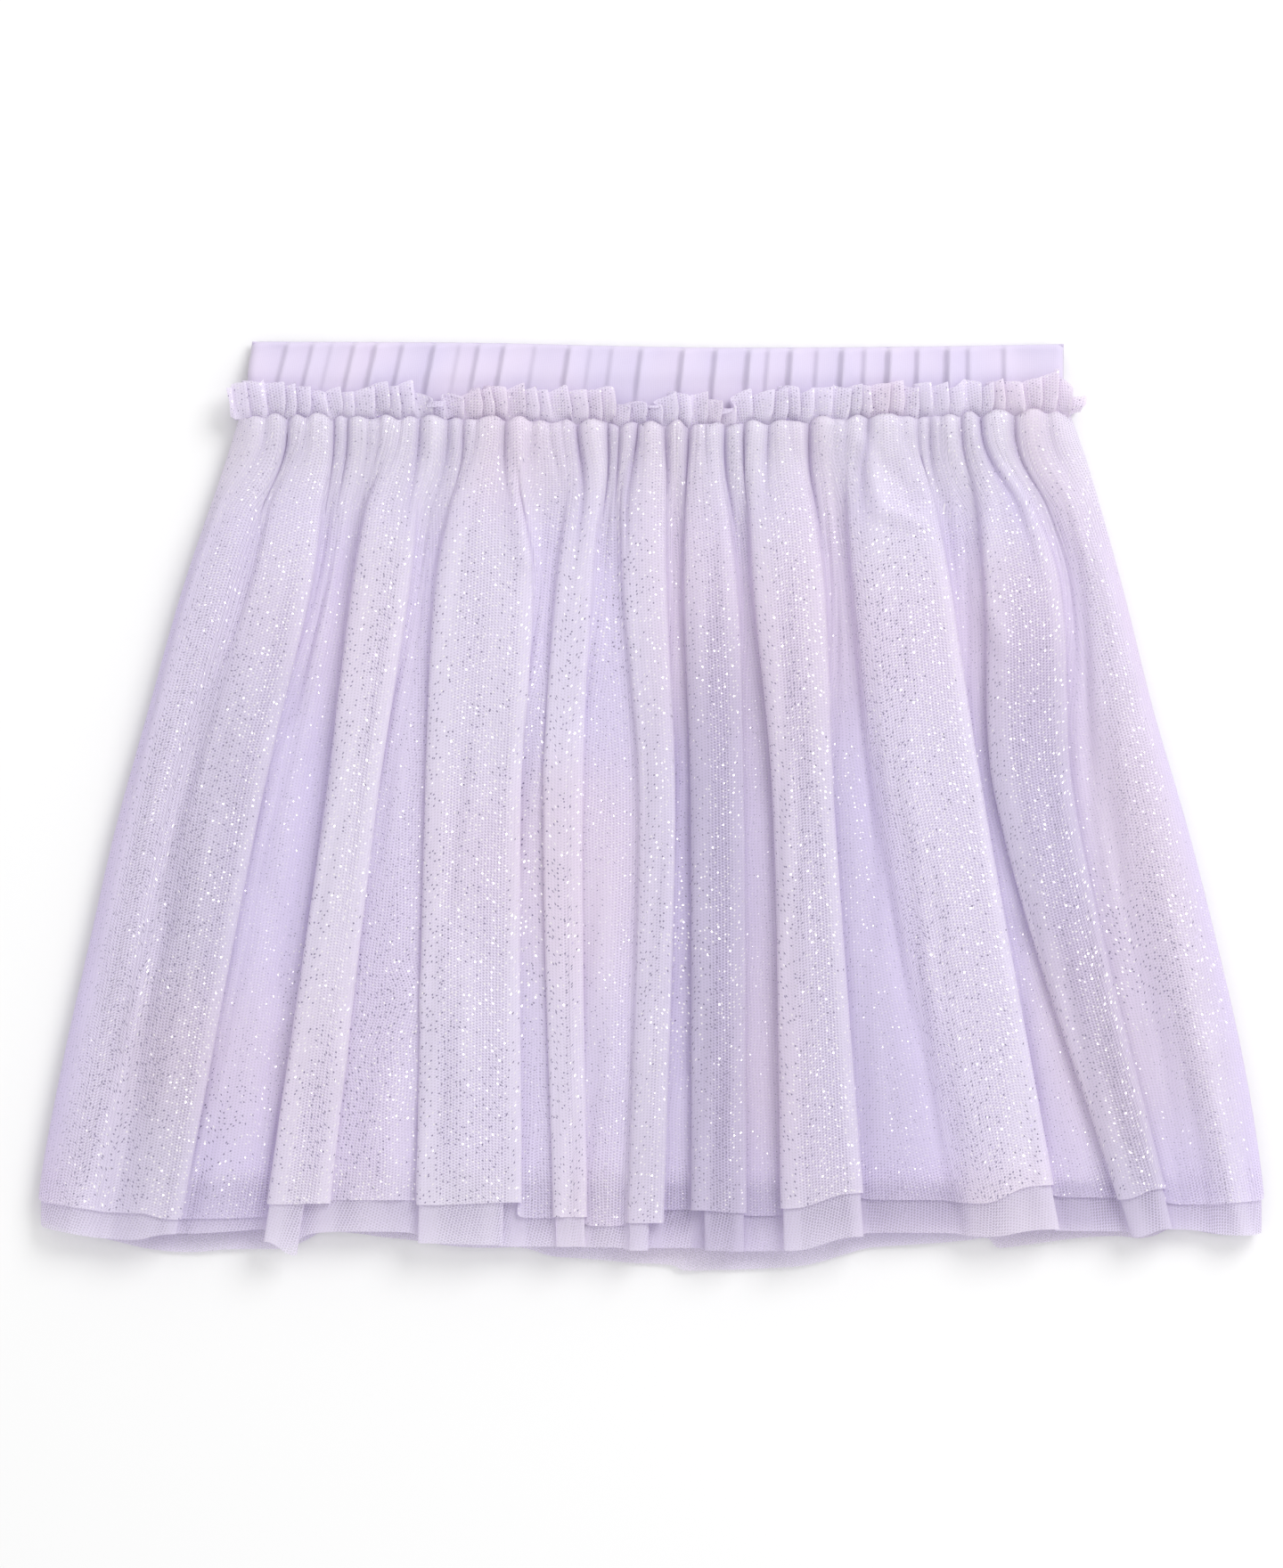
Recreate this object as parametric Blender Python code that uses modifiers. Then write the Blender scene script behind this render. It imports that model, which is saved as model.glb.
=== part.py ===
"""Tutu skort laid flat: a gathered skirt of two tulle layers over built-in knit shorts, on an elastic waistband.

The garment lies on its back on a table. X runs along the waist, +Y points from the hem to the waist and +Z is up.
Sizes are in millimetres, and MM turns them to metres where a mesh is placed.
The front tulle is one folded surface with a layer on each side of it. Each row of the table FRONT_FOLDS is a fold,
and a cubic B-spline through the control points of all folds gives the section of the cloth at each height.
"""

import math
from typing import NamedTuple

import bmesh
import bpy
from mathutils import Vector

MM = 0.001

# Cloth and seams.
NET_WALL = 1.0  # wall that stands for one tulle layer
NET_PITCH = 1.4  # from the middle of one tulle wall to the middle of the next
NET_HALF = (NET_PITCH + NET_WALL) / 2  # from the middle of a pair of tulle layers to its face
KNIT_WALL = 1.2  # wall of the jersey shorts
BAND_WALL = 2.4  # casing with its elastic
SEAM_GAP = 0.3  # between two pieces at a seam
LAYER_GAP = 0.3  # between two layers that lie on each other

# Waistband and frill.
BAND_UNDER = 2.0  # how far the band runs down behind the gathering line
BAND_ROWS = (0.0, 0.06, 0.5, 1.0)  # shares of the way down the band
BAND_LIP = 0.45  # share of the band's wall that is left on its rounded top edge
BAND_SIDE = 3.2  # width of the band's rounded sides
BAND_SIDE_LIP = 0.4
RIBS = 29  # soft gathers across the front of the waistband
RIB_HEIGHT = 0.7
BAND_BACK_COLUMNS = 28
FRILL_HEIGHT = 11.0
FRONT_FRILL_WAVES = 45
BACK_FRILL_WAVES = 22
WAVE_COLUMNS = 4  # columns of the mesh for each rib or frill wave

# Folds of the front.
GATHER_PITCH = 6.8  # spacing of the small gathers under the seam
GATHER_MEAN = 0.65  # a gather stands out by its height times the mean plus or minus the swing
GATHER_SWING = 0.45
SEAM_RISE = 0.12  # share of a fold's height that is left at the gathering line
FOLD_RISE = 45.0  # distance below the line over which a fold grows to its full height
FAN_OUT = 30.0  # distance below the line over which the gathered points reach their folds
TUCK_START = 50.0  # distance below the line where the sides of the folds begin to tuck under
TUCK_END = 100.0
SWELL_END = 200.0  # distance below the line where a swell has its full height
OPEN_SLOPE = 1.2  # how far a fold's foot stands out where it isn't tucked yet
LOW_SHARE = 0.4  # heights of the two points on a fold's side, as shares of its height
HIGH_SHARE = 0.9
CREST_LEFT = 0.3  # places of the two points on a fold's crest, as shares of its width
CREST_RIGHT = 0.7
SOFT_CREST = 1.3  # the spline rounds a soft ridge, so its control point stands this much higher
SOFTEST_SHARE = 0.35  # a soft ridge is at most this share of its width in height
SHARPEST = 0.72  # cosine of half the sharpest turn that a layer follows at full distance

# Mesh of the tulle layers.
FRONT_ROWS = (0.0, 0.04, 0.10, 0.17, 0.25, 0.38, 0.56, 0.78, 1.0)  # shares from the gathering line to the hem
GATHER_SHARES = (0.0, 0.04, 0.10, 0.17, 0.25)  # where the small gathers' height is given
GATHER_HEIGHTS = (0.5, 1.6, 1.4, 0.6, 0.0)
DENSE_ROWS = 3  # rows with twice the columns, for the small gathers
SIDE_COLUMNS = 3  # control points that turn the front down at each side
CALM_COLUMNS = 4  # columns over which the gathers fade out at the sides
BACK_ROWS = 6
BACK_COLUMNS = 34
BACK_PLEATS = 10
BACK_RIDGE = 0.8  # height of the pressed pleats of the back
BACK_TURN = 0.8  # inset of the back where it turns up at the sides
SHORTS_COLUMNS = 4
SHORTS_ROWS = 7

# Heights of the layers above the table, from the table up.
BACK_Z = NET_HALF
BACK_TOP_Z = BACK_Z + NET_HALF + BACK_RIDGE
SHORTS_BACK_Z = BACK_TOP_Z + LAYER_GAP + KNIT_WALL / 2
SHORTS_FRONT_Z = SHORTS_BACK_Z + KNIT_WALL + LAYER_GAP
VALLEY_Z = SHORTS_FRONT_Z + KNIT_WALL / 2 + LAYER_GAP + NET_HALF
BAND_BACK_Z = BACK_Z + NET_HALF + LAYER_GAP
BAND_FRONT_Z = BAND_BACK_Z + BAND_WALL + SEAM_GAP
SEAM_Z = BAND_FRONT_Z + BAND_WALL + LAYER_GAP + NET_HALF
SIDE_Z = 4.2  # height at which the front and the back meet at the side seams
SIDE_BEND = 0.6  # share of the way up where the front's side begins to bend in
SIDE_INSET = 2.0
SIDE_LIFT = 0.4
CORNER_LIFTS = {"left": (6.0, 4.0, 1.5), "right": (4.0, 2.0, 0.0)}  # rounding of the front's lower corners


class Level(NamedTuple):
    """The left and right edge of a piece at one height."""

    y: float
    left: float
    right: float


class Mark(NamedTuple):
    """A point of a line that runs across the garment."""

    x: float
    y: float


class Wobble(NamedTuple):
    """One of the waves that make a repeat uneven."""

    size: float
    length: float
    start: float


class Peak(NamedTuple):
    """A place where the frill stands higher or lower."""

    x: float
    extra: float
    width: float


class FrillRow(NamedTuple):
    """One row of the frill's waves."""

    rise: float  # of the waves' middle over the band
    swing: float  # of the waves up and down
    lean: float  # of the waves sideways


class Fold(NamedTuple):
    """One fold of the front tulle. Its edges are given at the four heights of FOLD_LEVELS."""

    name: str
    left: tuple
    right: tuple
    height: float  # of the crest over the deepest valleys
    under_left: float  # how far the left side is tucked under, 0 on both sides of a soft ridge
    under_right: float
    floor: float  # height of the valley on the right of the fold
    swell: float  # height of the soft swell in the middle of that valley, at the hem
    glitter_hem: float
    plain_hem: float


class Column(NamedTuple):
    """A control point of every section: its part of a fold or side, and the fold's or point's number."""

    part: str
    index: int


# Side edges of the skirt, the band and the shorts.
OUTLINE = (
    Level(126.0, -135.1, 137.8),
    Level(110.0, -140.1, 143.3),
    Level(70.0, -153.7, 154.6),
    Level(31.0, -164.7, 164.4),
    Level(-8.0, -175.5, 175.7),
    Level(-47.0, -184.4, 185.6),
    Level(-86.0, -193.1, 194.3),
    Level(-125.0, -200.2, 200.3),
    Level(-142.0, -200.6, 200.6),
)
BAND_SIDES = (
    Level(120.0, -131.4, 133.9),
    Level(140.0, -131.6, 134.4),
    Level(151.0, -130.2, 134.6),
)
SHORTS_SIDES = (
    Level(124.0, -131.0, 134.0),
    Level(60.0, -138.5, 139.5),
    Level(-20.0, -146.0, 143.5),
    Level(-94.0, -149.5, 144.0),
    Level(-123.0, -149.5, 142.0),
)

# Inner edges of the legs below the crotch, and the hems of the legs.
CROTCH = Mark(1.2, -66.0)
INSEAM = (
    Level(CROTCH.y, CROTCH.x, CROTCH.x),
    Level(-97.0, -3.0, 9.0),
    Level(-123.0, -9.0, 20.0),
)
SHORTS_HEMS = {"left": -120.0, "right": -122.5}

# The gathering line, the top of the band and the hems of the back, from left to right.
SEAM_LINE = (
    Mark(-138.0, 126.3),
    Mark(-60.0, 125.4),
    Mark(14.0, 123.6),
    Mark(80.0, 126.0),
    Mark(140.0, 127.8),
)
BAND_TOP = (
    Mark(-138.0, 151.2),
    Mark(-60.0, 150.8),
    Mark(14.0, 149.3),
    Mark(80.0, 149.5),
    Mark(140.0, 150.5),
)
BACK_HEMS = {
    "plain": (
        Mark(-200.0, -138.0),
        Mark(-145.0, -145.6),
        Mark(-90.0, -140.5),
        Mark(15.0, -151.4),
        Mark(80.0, -144.0),
        Mark(200.0, -140.0),
    ),
    "glitter": (
        Mark(-200.0, -128.0),
        Mark(-100.0, -133.0),
        Mark(15.0, -138.0),
        Mark(100.0, -133.0),
        Mark(200.0, -127.0),
    ),
}
WAIST_Y = SEAM_LINE[0].y

FRILL_LEFT_X = -137.6
FRILL_RIGHT_X = 140.0
FRILL_ROWS = {
    "front": (FrillRow(0.3, 0.3, 0.0), FrillRow(1.4, 1.1, 0.2), FrillRow(2.4, 1.6, 0.45)),
    "back": (FrillRow(0.1, 0.1, 0.0), FrillRow(0.55, 0.55, 0.0)),
}
FRILL_PEAKS = (Peak(131.0, 3.2, 5.0), Peak(-104.0, -1.4, 12.0), Peak(18.0, -1.2, 10.0), Peak(-40.0, 0.8, 14.0))
BAND_SAG_START = 138.8  # the band sinks to the table above the frill
BAND_SAG_END = 149.5

GATHER_WOBBLES = (Wobble(0.9, 88.0, 0.0), Wobble(0.6, 32.5, 1.0))
RIB_WOBBLES = (Wobble(0.9, 79.0, 0.0), Wobble(0.65, 35.0, 0.6))
FRILL_WOBBLES = (Wobble(0.6, 47.0, 0.0), Wobble(0.45, 21.0, 0.0))
BACK_WOBBLES = (Wobble(3.0, 125.0, 0.0),)

FOLD_LEVELS = (117.0, 73.5, 1.0, -135.0)

# name, left edges, right edges, height, tucks left and right, valley floor and swell, glitter hem, plain hem
FRONT_FOLDS = (
    Fold("side_left", (-134.3, -149.5, -168.0, -193.0), (-121.5, -135.5, -157.5, -182.0),
         4.5, 0.0, 0.0, 3.0, 0.0, -134.5, -140.0),
    Fold("left_panel", (-118.6, -129.6, -151.7, -174.3), (-105.9, -110.5, -127.0, -153.1),
         7.5, -1.5, 3.5, 0.0, 0.0, -133.5, -141.5),
    Fold("left_hollow", (-100.0, -105.5, -121.5, -147.0), (-94.5, -100.9, -113.4, -130.3),
         2.0, 0.0, 0.0, 0.0, 0.0, -133.0, -142.5),
    Fold("left_wide", (-88.7, -96.6, -105.8, -125.6), (-75.4, -78.6, -89.3, -105.3),
         8.0, 2.5, 2.5, 0.5, 3.2, -129.0, -141.4),
    Fold("left_broad", (-60.0, -69.6, -73.4, -76.3), (-47.3, -39.1, -42.6, -42.3),
         8.0, 2.5, 3.0, 1.0, 0.0, -129.5, -141.4),
    Fold("centre_left", (-24.1, -30.4, -34.8, -31.6), (-14.5, -19.4, -22.6, -21.2),
         6.5, 1.5, 1.5, 1.5, 2.0, -133.3, -143.0),
    Fold("centre", (-9.6, -9.0, -3.8, -7.5), (4.5, 4.6, 7.5, 3.8),
         6.5, -2.0, 3.0, 0.0, 0.0, -135.6, -144.6),
    Fold("centre_right", (12.2, 11.0, 13.0, 13.3), (20.9, 27.5, 29.9, 30.7),
         6.0, 1.5, 2.5, 0.0, 0.0, -132.7, -145.0),
    Fold("right_narrow", (31.6, 33.3, 39.7, 42.3), (48.7, 55.7, 59.2, 69.3),
         8.0, 2.5, 3.0, 0.0, 2.2, -128.5, -142.3),
    Fold("right_broad", (63.2, 65.3, 70.5, 97.7), (88.2, 96.6, 108.2, 132.8),
         8.5, 1.0, 3.5, 0.0, 1.2, -124.0, -139.1),
    Fold("right_slim", (104.1, 108.7, 112.4, 154.0), (115.1, 132.2, 137.5, 169.4),
         7.0, 1.5, 3.0, 0.0, 0.0, -124.6, -138.5),
    Fold("side_right", (124.4, 137.9, 147.6, 184.2), (134.0, 149.0, 167.8, 195.4),
         5.0, 0.0, 0.0, 2.0, 0.0, -123.7, -139.6),
)
SOFT_PARTS = ("foot_left", "crest", "foot_right")
FOLD_PARTS = (
    "under_left", "low_left", "high_left", "crest_left",
    "crest_right", "high_right", "low_right", "under_right",
)

# Linear colours of the cloths.
GLITTER_LILAC = (0.74, 0.66, 0.86, 1.0)
PLAIN_LILAC = (0.66, 0.58, 0.84, 1.0)
BAND_LILAC = (0.78, 0.69, 0.88, 1.0)
SHORTS_LILAC = (0.60, 0.49, 0.80, 1.0)


def ramp(value, start, end):
    """0 before start, 1 after end, and a smooth step between them."""
    share = min(max((value - start) / (end - start), 0.0), 1.0)
    return share * share * (3.0 - 2.0 * share)


def mix(first, second, share):
    """The value that lies a share of the way from first to second."""
    return first + (second - first) * share


def wobble(waves, place):
    """The sum of some waves at a place along the cloth."""
    return sum(wave.size * math.sin(2 * math.pi * place / wave.length + wave.start) for wave in waves)


def curve(stations, values, place):
    """A smooth curve through the values at their stations, read at place. It runs on straight beyond its ends."""
    if stations[0] > stations[-1]:
        stations = stations[::-1]
        values = values[::-1]
    last = len(stations) - 1
    slopes = []
    for i in range(last + 1):
        low = max(i - 1, 0)
        high = min(i + 1, last)
        slopes.append((values[high] - values[low]) / (stations[high] - stations[low]))
    if place <= stations[0]:
        return values[0] + slopes[0] * (place - stations[0])
    if place >= stations[last]:
        return values[last] + slopes[last] * (place - stations[last])
    i = max(k for k in range(last) if stations[k] <= place)
    width = stations[i + 1] - stations[i]
    t = (place - stations[i]) / width
    start = (1 + 2 * t) * (1 - t) ** 2 * values[i] + t * (1 - t) ** 2 * width * slopes[i]
    end = t * t * (3 - 2 * t) * values[i + 1] + t * t * (t - 1) * width * slopes[i + 1]
    return start + end


def line_y(marks, x):
    """The height of a line across the garment at x."""
    return curve([mark.x for mark in marks], [mark.y for mark in marks], x)


def edge_x(levels, y, side):
    """The left or right edge of a piece at height y."""
    edges = [level.left if side == "left" else level.right for level in levels]
    return curve([level.y for level in levels], edges, y)


def spline_weights(t):
    """The four weights of a cubic B-spline at t between two of its knots."""
    return (
        (1 - t) ** 3 / 6,
        (3 * t ** 3 - 6 * t * t + 4) / 6,
        (-3 * t ** 3 + 3 * t * t + 3 * t + 1) / 6,
        t ** 3 / 6,
    )


def spline_point(points, place):
    """A point of the B-spline with these control points. place counts control points from 0."""
    knot = min(int(place), len(points) - 2)
    total = Vector((0.0, 0.0, 0.0))
    for step, weight in enumerate(spline_weights(place - knot)):
        index = min(max(knot - 1 + step, 0), len(points) - 1)
        total += points[index] * weight
    return total


def section_normal(start, end):
    """The outward normal of a straight piece of a section, square to Y."""
    return Vector((start.z - end.z, 0.0, end.x - start.x)).normalized()


def layer_frame(points, place):
    """The section at a control point, and the move that takes a layer 1 mm off both straight pieces there."""
    last = len(points) - 1
    here = spline_point(points, place)
    before = spline_point(points, max(place - 1, 0))
    after = spline_point(points, min(place + 1, last))
    first = section_normal(before, here) if place > 0 else section_normal(here, after)
    second = section_normal(here, after) if place < last else first
    middle = (first + second).normalized()
    return here, middle / max(middle.dot(first), SHARPEST)


def fold_edges(index, y):
    """Left and right edge of a fold at height y."""
    fold = FRONT_FOLDS[index]
    return curve(FOLD_LEVELS, fold.left, y), curve(FOLD_LEVELS, fold.right, y)


def valley_z(y):
    """Height of the deepest valleys, which lie over the band at the waist and on the shorts below it."""
    return mix(SEAM_Z, VALLEY_Z, ramp(WAIST_Y - y, BAND_UNDER, 8 * BAND_UNDER))


def side_point(side, index, y):
    """x and z of the control points that turn the front down to the side seam."""
    sign = 1 if side == "left" else -1
    inset = NET_HALF + (0.0, 0.0, SIDE_INSET)[index]
    valley = valley_z(y)
    z = (SIDE_Z + SEAM_GAP / 2, mix(SIDE_Z, valley, SIDE_BEND), valley + SIDE_LIFT)[index]
    return edge_x(OUTLINE, y, side) + sign * inset, z


def fold_point(part, index, y):
    """x and z of one control point of a fold, or of the valley on its right."""
    fold = FRONT_FOLDS[index]
    left, right = fold_edges(index, y)
    width = right - left
    below = WAIST_Y - y
    rise = mix(SEAM_RISE, 1.0, ramp(below, 0.0, FOLD_RISE))
    tuck = ramp(below, TUCK_START, TUCK_END)
    floor_right = fold.floor * rise
    floor_left = FRONT_FOLDS[max(index - 1, 0)].floor * rise
    top = fold.height * rise
    if part == "valley":
        next_left = fold_edges(index + 1, y)[0]
        swell = fold.swell * ramp(below, FOLD_RISE, SWELL_END)
        return (right + next_left) / 2, valley_z(y) + floor_right + swell
    shapes = {
        "foot_left": (left, floor_left),
        "crest": ((left + right) / 2, SOFT_CREST * min(top, SOFTEST_SHARE * width)),
        "foot_right": (right, floor_right),
        "under_left": (left + mix(-OPEN_SLOPE, fold.under_left, tuck), floor_left),
        "low_left": (left, mix(floor_left, top, LOW_SHARE)),
        "high_left": (left, mix(floor_left, top, HIGH_SHARE)),
        "crest_left": (mix(left, right, CREST_LEFT), top),
        "crest_right": (mix(left, right, CREST_RIGHT), top),
        "high_right": (right, mix(floor_right, top, HIGH_SHARE)),
        "low_right": (right, mix(floor_right, top, LOW_SHARE)),
        "under_right": (right - mix(-OPEN_SLOPE, fold.under_right, tuck), floor_right),
    }
    x, z = shapes[part]
    return x, valley_z(y) + z


def front_columns():
    """The control points of a section, from the left side seam to the right one."""
    columns = [Column("left", index) for index in range(SIDE_COLUMNS)]
    for index, fold in enumerate(FRONT_FOLDS):
        soft = fold.under_left == 0.0 and fold.under_right == 0.0
        columns += [Column(part, index) for part in (SOFT_PARTS if soft else FOLD_PARTS)]
        if index < len(FRONT_FOLDS) - 1:
            columns.append(Column("valley", index))
    return columns + [Column("right", index) for index in reversed(range(SIDE_COLUMNS))]


def gathered_x(columns, number):
    """Where a control point lies on the gathering line. The points of each fold are spread evenly there."""
    part, index = columns[number]
    if part in CORNER_LIFTS:
        return side_point(part, index, WAIST_Y)[0]
    members = [k for k, column in enumerate(columns) if column.index == index and column.part not in CORNER_LIFTS]
    last = index == len(FRONT_FOLDS) - 1
    margin = SIDE_INSET / 2
    lower = fold_point("valley", index - 1, WAIST_Y)[0] if index else side_point("left", 2, WAIST_Y)[0] + margin
    upper = side_point("right", 2, WAIST_Y)[0] - margin if last else fold_point("valley", index, WAIST_Y)[0]
    return mix(lower, upper, (members.index(number) + 1) / (len(members) + (1 if last else 0)))


def front_hem_y(column, layer):
    """The hem of one layer at a control point."""
    def hem(fold):
        return fold.glitter_hem if layer == "glitter" else fold.plain_hem

    if column.part in CORNER_LIFTS:
        outer = FRONT_FOLDS[0 if column.part == "left" else -1]
        return hem(outer) + CORNER_LIFTS[column.part][column.index]
    own = hem(FRONT_FOLDS[column.index])
    if column.part == "valley":
        return (own + hem(FRONT_FOLDS[column.index + 1])) / 2
    return own


def front_section(columns, share, hem_layer):
    """Control points of the section that lies a share of the way from the gathering line to a hem."""
    section = []
    for number, column in enumerate(columns):
        seam_x = gathered_x(columns, number)
        seam_y = line_y(SEAM_LINE, seam_x) - SEAM_GAP / 2
        y = mix(seam_y, front_hem_y(column, hem_layer), share)
        if column.part in CORNER_LIFTS:
            x, z = side_point(column.part, column.index, y)
        else:
            x, z = fold_point(column.part, column.index, y)
        fanned = ramp(seam_y - y, 0.0, FAN_OUT)
        section.append(Vector((mix(seam_x, x, fanned), y, z)))
    return section


def gather_height(seam_x, share):
    """How far the small gathers under the seam stand out."""
    if share >= GATHER_SHARES[-1]:
        return 0.0
    height = max(curve(GATHER_SHARES, GATHER_HEIGHTS, share), 0.0)
    phase = 2 * math.pi * (seam_x + wobble(GATHER_WOBBLES, seam_x)) / GATHER_PITCH
    return height * (GATHER_MEAN + GATHER_SWING * math.cos(phase))


def parameter_grid(columns, rows, dense_rows=0):
    """A flat sheet whose x is the column and whose y is the row, the first rows with twice the columns."""
    mesh = bmesh.new()
    bmesh.ops.create_grid(mesh, x_segments=columns, y_segments=rows, size=0.5)
    for vert in mesh.verts:
        vert.co = Vector((round((vert.co.x + 0.5) * columns), round((0.5 - vert.co.y) * rows), 0.0))
    if dense_rows:
        edges = [edge for edge in mesh.edges
                 if edge.verts[0].co.y == edge.verts[1].co.y and edge.verts[0].co.y <= dense_rows]
        bmesh.ops.subdivide_edges(mesh, edges=edges, cuts=1, use_grid_fill=True)
    return mesh


def thickened(mesh):
    """Turns the sheet into a closed block whose copy at z = 1 becomes the outer side."""
    result = bmesh.ops.extrude_face_region(mesh, geom=list(mesh.faces))
    for item in result["geom"]:
        if isinstance(item, bmesh.types.BMVert):
            item.co.z = 1.0
    return mesh


def make_material(name, colour, roughness):
    """A plain cloth material."""
    material = bpy.data.materials.new(name)
    material.use_nodes = True
    shader = material.node_tree.nodes["Principled BSDF"]
    shader.inputs["Base Color"].default_value = colour
    shader.inputs["Roughness"].default_value = roughness
    shader.inputs["Metallic"].default_value = 0.0
    return material


def place_piece(name, mesh, point, material, collection, wall=0.0):
    """Moves each vertex of a parameter grid to its place and makes the object, as a shell if it has a wall."""
    for vert in mesh.verts:
        vert.co = point(*vert.co) * MM
    if not wall and mesh.calc_volume(signed=True) < 0:
        bmesh.ops.reverse_faces(mesh, faces=list(mesh.faces))
    data = bpy.data.meshes.new(name)
    mesh.to_mesh(data)
    mesh.free()
    data.materials.append(material)
    data.shade_smooth()
    piece = bpy.data.objects.new(name, data)
    collection.objects.link(piece)
    if wall:
        shell = piece.modifiers.new("wall", "SOLIDIFY")
        shell.thickness = wall * MM
        shell.offset = 0.0
    return piece


def front_tulle(layer, columns, material, collection):
    """One of the two front tulle layers, moved out or in from the folded surface between them."""
    glitter = layer == "glitter"
    shift = NET_PITCH / 2 if glitter else -NET_PITCH / 2
    sections = [front_section(columns, share, "glitter") for share in FRONT_ROWS]
    shares = list(FRONT_ROWS)
    if not glitter:
        sections.append(front_section(columns, 1.0, "plain"))
        shares.append(1.0)
    last = len(columns) - 1

    def gathers(column, row, outward):
        if not glitter:
            return Vector((0.0, 0.0, 0.0))
        seam_x = spline_point(sections[0], column).x
        calm = ramp(column, 0, CALM_COLUMNS) * ramp(last - column, 0, CALM_COLUMNS)
        return outward * gather_height(seam_x, shares[row]) * calm * max(outward.z, 0.0)

    def point(column, row, _):
        section = sections[round(row)]
        before, move = layer_frame(section, math.floor(column))
        place = before + move * shift
        outward = move.normalized()
        if column != math.floor(column):
            after, next_move = layer_frame(section, math.ceil(column))
            place = (place + after + next_move * shift) / 2
            outward = (move + next_move).normalized()
        return place + gathers(column, round(row), outward)

    grid = parameter_grid(last, len(sections) - 1, DENSE_ROWS if glitter else 0)
    return place_piece(f"{layer}_tulle_front", grid, point, material, collection, NET_WALL)


def back_tulle(layer, material, collection):
    """One of the two back tulle layers. The lower one rests flat on the table, and both turn up at the sides."""
    glitter = layer == "glitter"
    middle = -NET_PITCH / 2 if glitter else NET_PITCH / 2
    inner = 2 * NET_HALF + 4 * BACK_TURN

    def point(column, row, outer):
        from_side = min(column, BACK_COLUMNS - column)
        sign = 1 if column < BACK_COLUMNS / 2 else -1
        share = (column - 2) / (BACK_COLUMNS - 4)
        seam_x = mix(OUTLINE[0].left, OUTLINE[0].right, min(max(share, 0.0), 1.0))
        hem_x = mix(OUTLINE[-1].left, OUTLINE[-1].right, min(max(share, 0.0), 1.0))
        y = mix(line_y(SEAM_LINE, seam_x) - SEAM_GAP / 2, line_y(BACK_HEMS[layer], hem_x), row / BACK_ROWS)
        level = middle + (NET_WALL / 2 if outer else -NET_WALL / 2)
        if from_side < 2:
            edge = edge_x(OUTLINE, y, "left" if sign > 0 else "right")
            x = edge + sign * (NET_HALF + level + from_side * BACK_TURN)
            return Vector((x, y, BACK_Z + level if from_side else SIDE_Z - SEAM_GAP / 2))
        x = mix(edge_x(OUTLINE, y, "left") + inner, edge_x(OUTLINE, y, "right") - inner, share)
        if glitter and not outer:
            return Vector((x, y, 0.0))
        phase = 2 * math.pi * (share * BACK_PLEATS + wobble(BACK_WOBBLES, x) / BACK_COLUMNS)
        ridge = BACK_RIDGE * (0.5 + 0.5 * math.cos(phase)) * ramp(row, 0.0, 1.5)
        return Vector((x, y, BACK_Z + level + ridge))

    grid = thickened(parameter_grid(BACK_COLUMNS, BACK_ROWS))
    return place_piece(f"{layer}_tulle_back", grid, point, material, collection)


def shorts_panel(half, side, material, collection):
    """One quarter of the shorts, from the band to the hem of a leg."""
    middle_z = SHORTS_FRONT_Z if half == "front" else SHORTS_BACK_Z
    gap = -SEAM_GAP / 2 if side == "left" else SEAM_GAP / 2

    def point(column, row, _):
        share = column / SHORTS_COLUMNS
        top_x = mix(edge_x(SHORTS_SIDES, WAIST_Y, side), CROTCH.x, share)
        top = line_y(SEAM_LINE, top_x) - BAND_UNDER - SEAM_GAP
        y = mix(top, SHORTS_HEMS[side], row / SHORTS_ROWS)
        inner = edge_x(INSEAM, y, side) if y < CROTCH.y else CROTCH.x
        return Vector((mix(edge_x(SHORTS_SIDES, y, side), inner + gap, share), y, middle_z))

    grid = parameter_grid(SHORTS_COLUMNS, SHORTS_ROWS)
    return place_piece(f"shorts_{half}_{side}", grid, point, material, collection, KNIT_WALL)


def waistband_half(half, material, collection):
    """Half of the band. On the front the ribs are raised on its outer side, over a plain inner side."""
    front = half == "front"
    columns = WAVE_COLUMNS * RIBS if front else BAND_BACK_COLUMNS
    low = BAND_FRONT_Z if front else BAND_BACK_Z
    body = BAND_WALL - RIB_HEIGHT if front else BAND_WALL
    width = BAND_SIDES[0].right - BAND_SIDES[0].left

    def point(column, row, outer):
        share = column / columns
        flat_x = mix(BAND_SIDES[0].left, BAND_SIDES[0].right, share)
        bottom = line_y(SEAM_LINE, flat_x) - BAND_UNDER
        y = mix(line_y(BAND_TOP, flat_x), bottom, BAND_ROWS[round(row)])
        x = mix(edge_x(BAND_SIDES, y, "left"), edge_x(BAND_SIDES, y, "right"), share)
        z = low - (BAND_BACK_Z - LAYER_GAP) * ramp(y, BAND_SAG_START, BAND_SAG_END)
        if not outer:
            return Vector((x, y, z))
        phase = 2 * math.pi * RIBS * (share * width + wobble(RIB_WOBBLES, share * width)) / width
        rib = RIB_HEIGHT * (0.5 + 0.5 * math.cos(phase)) if front else 0.0
        side = mix(BAND_SIDE_LIP, 1.0, ramp(min(share, 1 - share) * width, 0.0, BAND_SIDE))
        lip = BAND_LIP if row == 0 else 1.0
        return Vector((x, y, z + (body + rib) * side * lip))

    grid = thickened(parameter_grid(columns, len(BAND_ROWS) - 1))
    return place_piece(f"waistband_{half}", grid, point, material, collection)


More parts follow.
